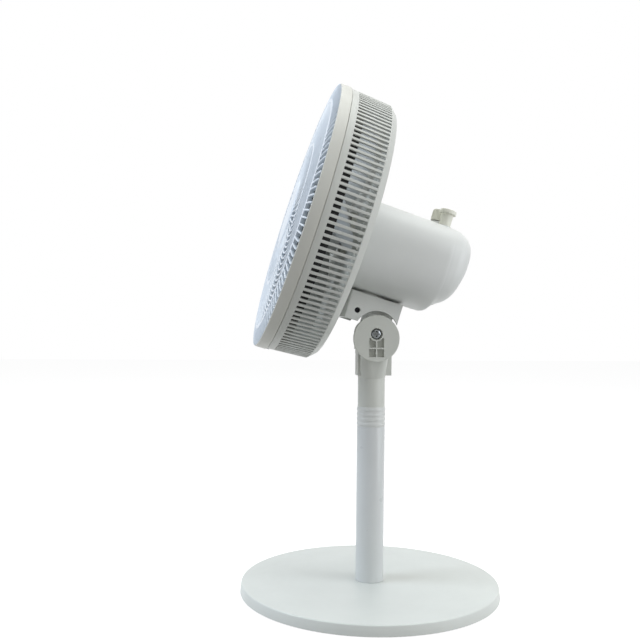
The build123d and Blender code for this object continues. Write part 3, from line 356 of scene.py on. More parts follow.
# ------------------------------------------------------------------ node trees
class Sheet:
    """Short-hand for filling a node tree."""

    def __init__(self, tree: bpy.types.NodeTree) -> None:
        """Keep the tree that is filled."""
        self.tree = tree

    def add(self, kind: str, inputs: dict | None = None, **settings: object) -> bpy.types.Node:
        """Add a node.

        Args:
            kind: the node's type name.
            inputs: socket name or index to a value, or to an output socket that is linked in.
            settings: the node's own properties.

        Returns:
            The new node.
        """
        node = self.tree.nodes.new(kind)
        for key, value in settings.items():
            setattr(node, key, value)
        for key, value in (inputs or {}).items():
            if isinstance(value, Socket):
                self.tree.links.new(value, node.inputs[key])
            else:
                node.inputs[key].default_value = value
        return node

    def math(self, operation: str, first: object, second: object = 0.0) -> Socket:
        """Output of a Math node."""
        return self.add("ShaderNodeMath", {0: first, 1: second}, operation=operation).outputs[0]


class ShapeTree:
    """A Geometry Nodes tree with named inputs that is run once on an object and baked."""

    def __init__(self, name: str, counts: Sequence[str], sizes: Sequence[str]) -> None:
        """Make the tree, whose inputs are the geometry, the counts, the sizes and the material.

        Args:
            name: name of the tree.
            counts: names of the whole-number inputs.
            sizes: names of the other number inputs.
        """
        kinds = {**dict.fromkeys(counts, "Int"), **dict.fromkeys(sizes, "Float"), "Material": "Material"}
        self.group = bpy.data.node_groups.new(name, "GeometryNodeTree")
        self.group.is_modifier = True
        face = self.group.interface
        face.new_socket("Geometry", in_out="INPUT", socket_type="NodeSocketGeometry")
        self.identifiers = {
            label: face.new_socket(label, in_out="INPUT", socket_type=f"NodeSocket{kind}").identifier
            for label, kind in kinds.items()
        }
        face.new_socket("Geometry", in_out="OUTPUT", socket_type="NodeSocketGeometry")
        self.sheet = Sheet(self.group)
        self.source = self.sheet.add("NodeGroupInput").outputs

    def angle(self, index: Socket, count: Socket) -> Socket:
        """Angle of one of count evenly spaced copies, from the input Start on."""
        step = self.sheet.math("DIVIDE", math.tau, count)
        return self.sheet.math("ADD", self.sheet.math("MULTIPLY", index, step), self.source["Start"])

    def end(self, points: Socket, shape: Socket, angle: Socket) -> None:
        """Finish the tree: shape on every point, turned about Z by angle, realized and with its material."""
        turn = self.sheet.add("ShaderNodeCombineXYZ", {2: angle}).outputs[0]
        geometry = self.sheet.add("GeometryNodeInstanceOnPoints", {"Points": points, "Instance": shape,
                                                                   "Rotation": turn}).outputs[0]
        real = self.sheet.add("GeometryNodeRealizeInstances", {0: geometry}).outputs[0]
        dressed = self.sheet.add("GeometryNodeSetMaterial", {0: real, "Material": self.source["Material"]})
        self.sheet.add("NodeGroupOutput", {0: dressed.outputs[0]})

    def run(self, piece: Piece, values: dict[str, object], sharp: float = SHARP_ANGLE) -> Piece:
        """Run the tree on a piece and leave a plain mesh.

        Args:
            piece: object whose mesh enters the tree.
            values: input name to value.
            sharp: degrees of bend from which an edge stays sharp.

        Returns:
            The same object.
        """
        modifier = piece.modifiers.new(self.group.name, "NODES")
        modifier.node_group = self.group
        for label, value in values.items():
            modifier[self.identifiers[label]] = value
        bake_modifiers(piece)
        tidy_mesh(piece, sharp)
        return piece


def around_tree() -> ShapeTree:
    """Tree that repeats the incoming mesh evenly around Z, from a start angle and at a radius."""
    tree = ShapeTree("repeat around axis", ["Count"], ["Start", "Radius"])
    sheet, source, calc = tree.sheet, tree.source, tree.sheet.math
    line = sheet.add("GeometryNodeMeshLine", {"Count": source["Count"], "Offset": (0, 0, 0)})
    index = sheet.add("GeometryNodeInputIndex").outputs[0]
    angle = tree.angle(index, source["Count"])
    x = calc("MULTIPLY", calc("COSINE", angle), source["Radius"])
    y = calc("MULTIPLY", calc("SINE", angle), source["Radius"])
    spot = sheet.add("ShaderNodeCombineXYZ", {0: x, 1: y}).outputs[0]
    spread = sheet.add("GeometryNodeSetPosition", {"Geometry": line.outputs[0], "Position": spot})
    tree.end(spread.outputs[0], source["Geometry"], angle)
    return tree


def repeated(around: ShapeTree, piece: Piece, count: int, start: float = 0.0, radius: float = 0.0,
             sharp: float = SHARP_ANGLE) -> Piece:
    """Repeat a piece around Z.

    Args:
        around: the tree of around_tree().
        piece: mesh that is repeated.
        count: number of copies.
        start: angle of the first copy in radians.
        radius: radius in millimetres that the copies are moved out to.
        sharp: degrees of bend from which an edge stays sharp.

    Returns:
        The same object.
    """
    return around.run(piece, {"Count": count, "Start": start, "Radius": radius * MM}, sharp=sharp)


def dome_rib_tree() -> ShapeTree:
    """Tree that makes the grille's straight or swirled ribs on an elliptical dome from their sizes alone."""
    tree = ShapeTree("radial ribs on a dome", ["Ribs", "Steps"], [
        "Inner Radius", "Outer Radius", "Dome Radius", "Crown", "Front", "Width", "Depth", "Rounding", "Swirl From",
        "Swirl To", "Start", "Swirl"])
    sheet, source, calc = tree.sheet, tree.source, tree.sheet.math
    line = sheet.add("GeometryNodeMeshLine", {"Count": source["Steps"], "Offset": (0, 0, 0)})
    index = sheet.add("GeometryNodeInputIndex").outputs[0]
    share = calc("DIVIDE", index, calc("SUBTRACT", source["Steps"], 1.0))
    # more stations where the dome bends down to the rim
    eased = calc("SINE", calc("MULTIPLY", share, math.pi / 2))
    span = calc("SUBTRACT", source["Outer Radius"], source["Inner Radius"])
    radius = calc("ADD", source["Inner Radius"], calc("MULTIPLY", eased, span))
    ratio = calc("DIVIDE", radius, source["Dome Radius"])
    rise = calc("SQRT", calc("SUBTRACT", 1.0, calc("MULTIPLY", ratio, ratio)))
    face = calc("SUBTRACT", source["Front"], calc("MULTIPLY", rise, source["Crown"]))
    height = calc("ADD", face, calc("MULTIPLY", source["Depth"], 0.5))
    # a swirled rib turns with the cube of its way out
    reach = calc("SUBTRACT", source["Swirl To"], source["Swirl From"])
    way = calc("DIVIDE", calc("SUBTRACT", radius, source["Swirl From"]), reach)
    lean = calc("MULTIPLY", calc("POWER", way, 3.0), source["Swirl"])
    x = calc("MULTIPLY", radius, calc("COSINE", lean))
    y = calc("MULTIPLY", radius, calc("SINE", lean))
    spot = sheet.add("ShaderNodeCombineXYZ", {0: x, 1: y, 2: height}).outputs[0]
    path = sheet.add("GeometryNodeSetPosition", {"Geometry": line.outputs[0], "Position": spot}).outputs[0]
    curve = sheet.add("GeometryNodeMeshToCurve", {0: path}).outputs[0]
    level = sheet.add("GeometryNodeSetCurveNormal", {0: curve}, mode="Z_UP").outputs[0]
    section = sheet.add("GeometryNodeCurvePrimitiveQuadrilateral", {"Width": source["Width"],
                                                                    "Height": source["Depth"]}).outputs[0]
    soft = sheet.add("GeometryNodeFilletCurve", {"Curve": section, "Count": 2, "Radius": source["Rounding"]},
                     mode="POLY").outputs[0]
    rib = sheet.add("GeometryNodeCurveToMesh", {"Curve": level, "Profile Curve": soft, "Fill Caps": True})
    spots = sheet.add("GeometryNodeMeshLine", {"Count": source["Ribs"], "Offset": (0, 0, 0)}).outputs[0]
    tree.end(spots, rib.outputs[0], tree.angle(index, source["Ribs"]))
    return tree


# ------------------------------------------------------------------ finishes
class MaterialSheet(Sheet):
    """A surface material that starts from Object coordinates and one Principled shader."""

    def __init__(self, name: str) -> None:
        """Make an empty material with its shader and coordinates."""
        self.material = bpy.data.materials.new(name)
        self.material.use_nodes = True
        super().__init__(self.material.node_tree)
        self.tree.nodes.clear()
        self.shader = self.add("ShaderNodeBsdfPrincipled")
        self.add("ShaderNodeOutputMaterial", {"Surface": self.shader.outputs[0]})
        self.place = self.add("ShaderNodeTexCoord").outputs["Object"]

    def noise(self, size: float, detail: float = 2.0, stretch: Point3 = (1, 1, 1)) -> Socket:
        """Noise value whose features are about size metres across.

        Args:
            size: feature size in metres.
            detail: octaves of finer noise.
            stretch: how much longer the features are along each axis.

        Returns:
            The noise's value socket.
        """
        scale = tuple(1 / (size * s) for s in stretch)
        spot = self.add("ShaderNodeMapping", {"Vector": self.place, "Scale": scale}).outputs[0]
        return self.add("ShaderNodeTexNoise", {"Vector": spot, "Scale": 1.0, "Detail": detail}).outputs[0]

    def span(self, value: Socket, low: float, high: float) -> Socket:
        """Map a noise value from its usual range to low..high."""
        return self.add("ShaderNodeMapRange", {"Value": value, "From Min": 0.3, "From Max": 0.7,
                                               "To Min": low, "To Max": high}).outputs[0]

    def tint(self, value: Socket, first: Colour, second: Colour) -> None:
        """Blend the base colour between two display colours by a value."""
        mix = self.add("ShaderNodeMix", {0: value}, data_type="RGBA")
        mix.inputs[6].default_value = linear(*first)
        mix.inputs[7].default_value = linear(*second)
        self.tree.links.new(mix.outputs[2], self.shader.inputs["Base Color"])

    def rough(self, value: Socket, low: float, high: float) -> None:
        """Vary the roughness by a noise value between low and high."""
        self.tree.links.new(self.span(value, low, high), self.shader.inputs["Roughness"])

    def relief(self, value: Socket, height: float, strength: float = 1.0) -> None:
        """Raise the surface by a value, height metres at most."""
        bump = self.add("ShaderNodeBump", {"Height": value, "Distance": height, "Strength": strength})
        self.tree.links.new(bump.outputs[0], self.shader.inputs["Normal"])


@dataclass(frozen=True)
class Surface:
    """A finish: the name of its material and its display colour."""

    name: str
    colour: Colour

    def build(self) -> bpy.types.Material:
        """Make the material."""
        sheet = MaterialSheet(self.name)
        self.shade(sheet, *self.colour)
        return sheet.material

    def shade(self, sheet: MaterialSheet, r: float, g: float, b: float) -> None:
        """Fill the node tree."""
        raise NotImplementedError


@dataclass(frozen=True)
class MouldedPlastic(Surface):
    """Injection-moulded plastic with a fine eroded grain and slight cloudiness.

    Attributes:
        roughness: middle roughness.
        cloud: how far the colour drifts, in display steps.
        coat: share of clear gloss on top.
    """

    roughness: float = 0.42
    cloud: float = 3.0
    coat: float = 0.0

    def shade(self, sheet: MaterialSheet, r: float, g: float, b: float) -> None:
        """Fill the node tree."""
        cloud = sheet.noise(0.05, 4.0)
        sheet.tint(sheet.span(cloud, 0, 1), (r - self.cloud, g - self.cloud, b - self.cloud * 1.3),
                   (r + self.cloud, g + self.cloud, b + self.cloud * 0.7))
        sheet.rough(sheet.noise(0.012, 5.0), self.roughness - 0.05, self.roughness + 0.06)
        sheet.relief(sheet.noise(0.0006, 3.0), 0.00003)
        if self.coat:
            sheet.shader.inputs["Coat Weight"].default_value = self.coat
            sheet.shader.inputs["Coat Roughness"].default_value = 0.12


@dataclass(frozen=True)
class PaintedTube(Surface):
    """Powder-painted steel tube: smooth orange peel under a satin gloss."""

    def shade(self, sheet: MaterialSheet, r: float, g: float, b: float) -> None:
        """Fill the node tree."""
        drift = sheet.noise(0.03, 3.0, (1, 1, 4))
        sheet.tint(sheet.span(drift, 0, 1), (r - 2, g - 2, b - 3), (r + 2, g + 2, b + 2))
        sheet.rough(sheet.noise(0.02, 4.0), 0.27, 0.35)
        sheet.relief(sheet.noise(0.0022, 2.0), 0.00004, 0.6)


@dataclass(frozen=True)
class BareMetal(Surface):
    """Metal with fine machining lines and faint stains; on the chrome bolt the darkened patches are strong and are
    painted dark reflections.

    Attributes:
        roughness: middle roughness.
        lines: how much longer the grain is along each axis.
        line_size: width of a line in metres.
        stain_and_dark_reflection: how much darker the stained patches are, in display steps; on the chrome bolt these
            are painted dark reflections.
    """

    roughness: float = 0.3
    lines: Point3 = (1, 1, 1)
    line_size: float = 0.0004
    stain_and_dark_reflection: float = 8.0

    def shade(self, sheet: MaterialSheet, r: float, g: float, b: float) -> None:
        """Fill the node tree."""
        # darker patches: faint stains, and on the chrome bolt painted dark reflections
        stain_and_dark_reflection = sheet.span(sheet.noise(0.008, 5.0), 0, 1)
        sheet.tint(stain_and_dark_reflection, (r - self.stain_and_dark_reflection, g - self.stain_and_dark_reflection, b - self.stain_and_dark_reflection * 1.2), (r, g, b))
        grain = sheet.noise(self.line_size, 2.0, self.lines)
        sheet.rough(grain, self.roughness - 0.08, self.roughness + 0.1)
        sheet.relief(grain, 0.00001, 0.6)
        sheet.shader.inputs["Metallic"].default_value = 1.0


@dataclass(frozen=True)
class SoftRubber(Surface):
    """Matte rubber with dusty patches; the black band inside the drum uses it as painted shade."""

    def shade(self, sheet: MaterialSheet, r: float, g: float, b: float) -> None:
        """Fill the node tree."""
        dust = sheet.span(sheet.noise(0.004, 6.0), 0, 1)
        sheet.tint(dust, (r, g, b), (r + 16, g + 16, b + 15))
        sheet.rough(sheet.noise(0.01, 3.0), 0.72, 0.9)
        sheet.relief(sheet.noise(0.0009, 3.0), 0.00005)


@dataclass(frozen=True)
class Laminations(Surface):
    """Stacked sheet metal: fine dark lines across the fan axis."""

    def shade(self, sheet: MaterialSheet, r: float, g: float, b: float) -> None:
        """Fill the node tree."""
        lean = (math.radians(HEAD_LEAN), 0, 0)
        along = sheet.add("ShaderNodeMapping", {"Vector": sheet.place, "Rotation": lean}).outputs[0]
        wave = sheet.add("ShaderNodeTexWave", {"Vector": along, "Scale": 320.0, "Distortion": 0.3},
                         wave_type="BANDS", bands_direction="Y").outputs[1]
        sheet.tint(wave, (r - 30, g - 30, b - 30), (r, g, b))
        sheet.relief(wave, 0.0001)
        sheet.shader.inputs["Metallic"].default_value = 0.8
        sheet.shader.inputs["Roughness"].default_value = 0.5


@dataclass(frozen=True)
class WoundCopper(Surface):
    """Enamelled wire wound side by side and laced."""

    def shade(self, sheet: MaterialSheet, r: float, g: float, b: float) -> None:
        """Fill the node tree."""
        wave = sheet.add("ShaderNodeTexWave", {"Vector": sheet.place, "Scale": 260.0, "Distortion": 3.0,
                                               "Detail": 2.0}, wave_type="RINGS", rings_direction="Y").outputs[1]
        sheet.tint(wave, (r * 0.55, g * 0.5, b * 0.5), (r, g, b))
        sheet.relief(wave, 0.0002)
        sheet.shader.inputs["Roughness"].default_value = 0.35
        sheet.shader.inputs["Coat Weight"].default_value = 0.4


class Finish(Enum):
    """Every finish on the fan."""

    BASE = MouldedPlastic("base_white", (220, 224, 220), 0.4, 2.0)
    POLE = PaintedTube("pole_white", (209, 212, 212))
    COLLAR = MouldedPlastic("collar_white", (214, 216, 214), 0.36)
    NECK = MouldedPlastic("neck_grey_white", (204, 206, 200), 0.44)
    BRACKET = MouldedPlastic("bracket_grey_white", (213, 215, 212), 0.42)
    COVER = MouldedPlastic("cover_white", (218, 220, 218), 0.4, 2.0)
    GUARD = MouldedPlastic("guard_warm_white", (204, 204, 197), 0.42)
    REAR_GUARD = MouldedPlastic("rear_guard_white", (200, 202, 197), 0.4, 2.0)
    # white plastic of the front guard; its bluish tint and extra lightness over the rim's colour are painted cool
    # front light
    GRILLE_WITH_PAINTED_LIGHT = MouldedPlastic("grille_white_painted_cool_light", (212, 221, 231), 0.32, 2.0, coat=0.15)
    BLADE = MouldedPlastic("blade_grey_white", (186, 188, 186), 0.34, 2.0, coat=0.1)
    CONTROL = MouldedPlastic("control_white", (226, 226, 214), 0.45, 3.0)
    INNER = MouldedPlastic("inner_white", (205, 205, 196), 0.5, 4.0)
    CAPACITOR = MouldedPlastic("capacitor_white", (218, 218, 212), 0.35, 3.0)
    GLAND = SoftRubber("gland_grey", (176, 178, 176))
    FEET = SoftRubber("foot_black", (40, 40, 42))
    # painted shade: near-black band inside the drum, seen through the slots' front ends
    PAINTED_SHADE_BAND = SoftRubber("painted_shade_black", (18, 18, 19))
    # painted reflection: the 50-step darker patches stand for dark reflections on the bolt
    CHROME = BareMetal("bolt_chrome", (128, 131, 135), 0.15, stain_and_dark_reflection=50.0)
    ZINC = BareMetal("screw_zinc", (168, 170, 174), 0.32)
    BLACK_SCREW = BareMetal("screw_black", (34, 34, 37), 0.45)
    STEEL = BareMetal("ground_steel", (158, 158, 162), 0.28, (1, 12, 1))
    BRONZE = BareMetal("sintered_bronze", (168, 124, 70), 0.45)
    CASTING = BareMetal("die_cast", (168, 168, 172), 0.5, line_size=0.0015)
    BALLAST = BareMetal("ballast_iron", (66, 66, 68), 0.65, line_size=0.003)
    LAMINATION = Laminations("motor_laminations", (96, 96, 100))
    COPPER = WoundCopper("copper_winding", (176, 92, 50))

    def material(self) -> bpy.types.Material:
        """The finish's material, made once."""
        found = bpy.data.materials.get(self.value.name)
        return found or self.value.build()


# ------------------------------------------------------------------ sub-assemblies
@dataclass
class Pedestal:
    """Round base with its feet and ballast screws, plain pole and ribbed collar."""

    base_radius: float = 175.0
    foot_radius: float = 176.5
    top: float = 15.0
    gap: float = 1.2
    wall: float = 2.5
    rib_count: int = 24
    rib_half: float = 0.7
    rib_draft: float = 0.4
    hole: float = 15.0
    pole_radius: float = 19.1
    pole_bore: float = 16.95
    pole_top: float = 226.0
    collar_top: float = 253.0
    collar_ribs: int = 4
    collar_pitch: float = 6.55
    collar_rib_width: float = 3.6
    foot_count: int = 6
    foot_circle: float = 160.0
    screw_circle: float = 110.0
    screw_count: int = 6
    screw_start: float = math.radians(30)
    weight_radius: float = 146.0

    def build(self, around: ShapeTree) -> None:
        """Build and fit every piece of the pedestal."""
        self.base_cover(around)
        self.feet(around)
        self.ballast_screws(around)
        self.pole()
        self.collar()

    def base_cover(self, around: ShapeTree) -> None:
        """Low cover with a drafted, softly rounded side and ribs, seats and bosses below."""
        ceiling = self.top - self.wall
        shell = turned("base_shell", [
            (self.hole, self.top, 0.3), (self.base_radius, self.top, 2.0), (self.foot_radius, self.gap, 0.5),
            (self.base_radius - self.wall, self.gap, 0.5), (self.base_radius - self.wall, ceiling, 1.0),
            (self.hole, ceiling, 0.3)], segments=256, steps=5)
        low, inside = self.gap + 3, ceiling + 0.5
        half, root = self.rib_half, self.rib_half + self.rib_draft
        ribs = lofted("base_ribs", [
            millimetres([(x, -half, low), (x, half, low), (x, root, inside), (x, -root, inside)])
            for x in (self.weight_radius + 4, self.base_radius - self.wall + 0.5)])
        repeated(around, ribs, self.rib_count, math.pi / self.rib_count)
        seats = turned("base_seats", [(0, 3), (11, 3, 0.8), (11.6, inside), (0, inside)], segments=32)
        repeated(around, seats, self.foot_count, 0.0, self.foot_circle)
        bosses = turned("base_bosses", [(0, 11.5), (5, 11.5), (5.6, inside), (0, inside)], segments=32)
        repeated(around, bosses, self.screw_count, self.screw_start, self.screw_circle)
        whole = joined("base_cover_skin", [shell, ribs, seats, bosses])
        fit(whole, Body.STAND, "base_cover", Finish.BASE, "base_cover")

    def feet(self, around: ShapeTree) -> None:
        """Ribbed rubber pads."""
        pad = turned("foot_pads", [
            (0, 0.4), (6.0, 0.4, 0.2), (6.4, 0, 0.2), (8.6, 0, 0.5), (9, 3, 0.3), (0, 3)], segments=48, steps=3)
        repeated(around, pad, self.foot_count, 0.0, self.foot_circle)
        fit(pad, Body.STAND, "rubber_feet", Finish.FEET, "rubber_feet")

    def ballast_screws(self, around: ShapeTree) -> None:
        """Pan-head screws under the ballast ring."""
        screw = pan_head("ballast_screw_heads", 4.5, 2.0, 5.5)
        repeated(around, screw, self.screw_count, self.screw_start, self.screw_circle)
        fit(screw, Body.STAND, "fasteners", Finish.ZINC, "weight_screws")

    def pole(self) -> None:
        """Painted tube with a slightly rounded foot."""
        tube = turned("pole_tube", [
            (self.pole_radius, self.top, 0.5), (self.pole_radius, self.pole_top, 0.25),
            (self.pole_bore, self.pole_top, 0.2), (self.pole_bore, self.top + 6, 0.5), (11, self.top + 6, 0.3),
            (11, 3, 0.3), (self.hole, 3, 0.8), (self.hole, self.top, 0.1)])
        fit(tube, Body.STAND, "pole", Finish.POLE, "pole_lower")

    def collar(self) -> None:
        """Sleeve with soft raised ribs around it."""
        corners = [(self.pole_radius - 0.1, self.pole_top, 0.3)]
        middle = (self.pole_top + self.collar_top) / 2
        for i in range(self.collar_ribs):
            height = middle + (i - (self.collar_ribs - 1) / 2) * self.collar_pitch
            low, high = height - self.collar_rib_width / 2, height + self.collar_rib_width / 2
            corners += [(self.pole_radius - 0.1, low, 0.3), (self.pole_radius + 0.48, low + 0.5, 0.6),
                        (self.pole_radius + 0.48, high - 0.5, 0.6), (self.pole_radius - 0.1, high, 0.3)]
        corners += [(self.pole_radius - 0.1, self.collar_top, 0.6), (self.pole_bore, self.collar_top, 0.1),
                    (self.pole_bore, self.pole_top, 0.1)]
        sleeve = turned("collar_sleeve", corners, steps=3)
        fit(sleeve, Body.STAND, "collar", Finish.COLLAR, "pole_collar")


def pan_head(name: str, radius: float, height: float, seat: float) -> Piece:
    """Head of a cross-recessed screw that faces down from its seat.

    Args:
        name: name of the piece.
        radius: radius of the head.
        height: height of the head.
        seat: height that the head sits against.

    Returns:
        The screw head, on the Z axis.
    """
    head = turned(name, [(0, seat - height), (radius, seat - height, height * 0.45), (radius, seat, 0.1), (0, seat)],
                  segments=32, steps=5)
    cross_recess(head, radius * 0.55, radius * 0.1, seat - height - 1, seat - height * 0.45, (0.8, 0.8))
    return head


@dataclass
class TiltJoint:
    """Bright cross-recessed bolt in the fork's near ear."""

    seat: float = 29.4
    head: float = 7.2
    height: float = 3.0
    shank: float = 4.0
    far_end: float = -32.2
    # half length and half width of an arm of the cross, and its depth
    recess: Point2 = (4.9, 1.25)
    recess_depth: float = 2.6

    def build(self) -> None:
        """Build and fit the bolt."""
        seat, top = self.seat, self.seat + self.height
        bolt = turned("axle_bolt", [
            (0, self.far_end), (self.shank, self.far_end, 0.6), (self.shank, seat, 0.1), (self.head, seat, 0.3),
            (self.head, top - 2.5, 0.5), (self.head * 0.83, top - 1.35, 2.0), (self.head * 0.5, top - 0.4, 3.0),
            (0, top)], segments=64, steps=6)
        cross_recess(bolt, *self.recess, top + 0.4, top - self.recess_depth, (0.55, 0.7))
        bolt.data.transform(TILT_AXIS @ turned_by(90, "Y"))
        fit(bolt, Body.STAND, "tilt_bolt", Finish.CHROME, "tilt_bolt")


@dataclass
class MotorCover:
    """Bucket-shaped cover with a crowned top, a chin below and bosses for the two controls."""

    # y, half width, bottom, top
    stations: list[Sequence[float]] = field(default_factory=lambda: [
        (-67.0, 74.5, 50.0, 171.5), (-50.0, 74.5, 50.0, 171.4), (-20.0, 74.5, 50.0, 171.0), (10.0, 74.4, 50.0, 170.4),
        (30.0, 74.1, 50.0, 170.0), (42.0, 73.6, 50.0, 169.8), (50.0, 73.0, 50.0, 169.6), (53.0, 72.7, 50.0, 169.5),
        (55.5, 72.3, 50.9, 169.4), (57.5, 71.8, 53.6, 169.4), (60.0, 71.3, 58.2, 169.3), (62.0, 70.8, 60.6, 169.1),
        (65.0, 70.0, 62.5, 168.8), (69.5, 68.6, 65.1, 167.6), (74.8, 65.8, 68.6, 165.2), (79.3, 62.8, 73.7, 162.4),
        (82.0, 60.4, 79.5, 160.0), (84.5, 57.0, 89.0, 156.4), (86.6, 52.5, 98.5, 150.5), (88.0, 46.0, 108.0, 141.0)])
    power: float = 2.8
    waist: float = 110.5
    waist_from: float = 55.0
    # the lower corners tuck in towards the rear, and the chin is a lip under them
    tuck_from: float = 20.0
    tuck_to: float = 65.0
    tuck_height: float = 12.5
    chin_power: float = 6.0
    wall: float = 2.4
    turret_hole: Point3 = (0.0, -21.5, 23.6)
    turret_cut: Point2 = (40.0, 60.0)
    # place in the middle plane, lean and radius of the flange's seat
    gland: Point2 = (69.5, 65.2)
    gland_lean: float = 38.0
    gland_radius: float = 8.6
    gland_cut: Point2 = (-9.0, 9.0)
    # x, y and radius; the spans are from low to high
    knob_hole: Point3 = (25.0, 46.0, 8.6)
    knob_cut: Point2 = (155.0, 185.0)
    guide_span: Point2 = (152.0, 168.0)
    guide_wall: float = 1.9
    dial_boss: Point3 = (-5.0, 46.0, 13.0)
    boss_span: Point2 = (164.0, 175.4)
    dial_bore: float = 3.3
    points_around: int = 128
    steps_between: int = 3
    sharp: float = 50.0

    def section(self, row: Sequence[float]) -> list[Vector]:
        """Rounded-box outline of one station, widest at a waist that stays level until the rear."""
        y, half_width, bottom, top = row
        share = min(max((y - self.waist_from) / (self.stations[-1][0] - self.waist_from), 0.0), 1.0)
        middle = self.waist + (sum(self.stations[-1][2:]) / 2 - self.waist) * share * share
        tuck = min(max((y - self.tuck_from) / (self.tuck_to - self.tuck_from), 0.0), 1.0)
        keel = bottom if y >= self.tuck_to else self.stations[0][2] + self.tuck_height * tuck**2
        outline = []
        for step in range(self.points_around):
            angle = math.tau * (step + 0.5) / self.points_around
            c, s = math.cos(angle), math.sin(angle)
            x = half_width * math.copysign(abs(c) ** (2 / self.power), c)
            z = (top - middle if s > 0 else keel - middle) * abs(s) ** (2 / self.power)
            z += (bottom - keel) * max(-s, 0.0) ** self.chin_power
            outline.append(Vector((x, y, middle + z)) * MM)
        return outline

    def build(self) -> None:
        """Build the cover with its holes, the dial's boss and the knob's guide."""
        rows = smooth_between(self.stations, self.steps_between)
        skin = lofted("cover_skin", [self.section(row) for row in rows], open_start=True, sharp=self.sharp)
        thick = skin.modifiers.new("wall", "SOLIDIFY")
        thick.thickness = self.wall * MM
        thick.offset = -1
        bake_modifiers(skin)
        for (x, y, radius), cut in ((self.turret_hole, self.turret_cut), (self.knob_hole, self.knob_cut)):
            drill(skin, radius, cut, moved(x, y))
        drill(skin, self.gland_radius, self.gland_cut, moved(0, *self.gland) @ turned_by(self.gland_lean, "X"))
        skin.data.transform(HEAD)
        fit(skin, Body.HEAD, "cover", Finish.COVER, "motor_cover")
        (x, y, radius), (low, high), bore = self.dial_boss, self.boss_span, self.dial_bore
        boss = turned("dial_boss", [
            (bore, low), (bore, high, 0.2), (radius, high, 0.5), (radius + 0.4, low)], HEAD @ moved(x, y), 64)
        fit(boss, Body.HEAD, "cover", Finish.COVER)
        (x, y, inner), (low, high) = self.knob_hole, self.guide_span
        outer = inner + self.guide_wall
        guide = turned("knob_guide", [
            (inner, low, 0.2), (outer, low, 0.2), (outer, high, 0.2), (inner, high, 0.2)], HEAD @ moved(x, y), 64)
        fit(guide, Body.HEAD, "cover", Finish.COVER)


class BarCount(int, Enum):
    """How many bars each of the three rows of the rear guard has."""

    DRUM = 144
    BACK_OUTER = 108
    BACK_INNER = 72


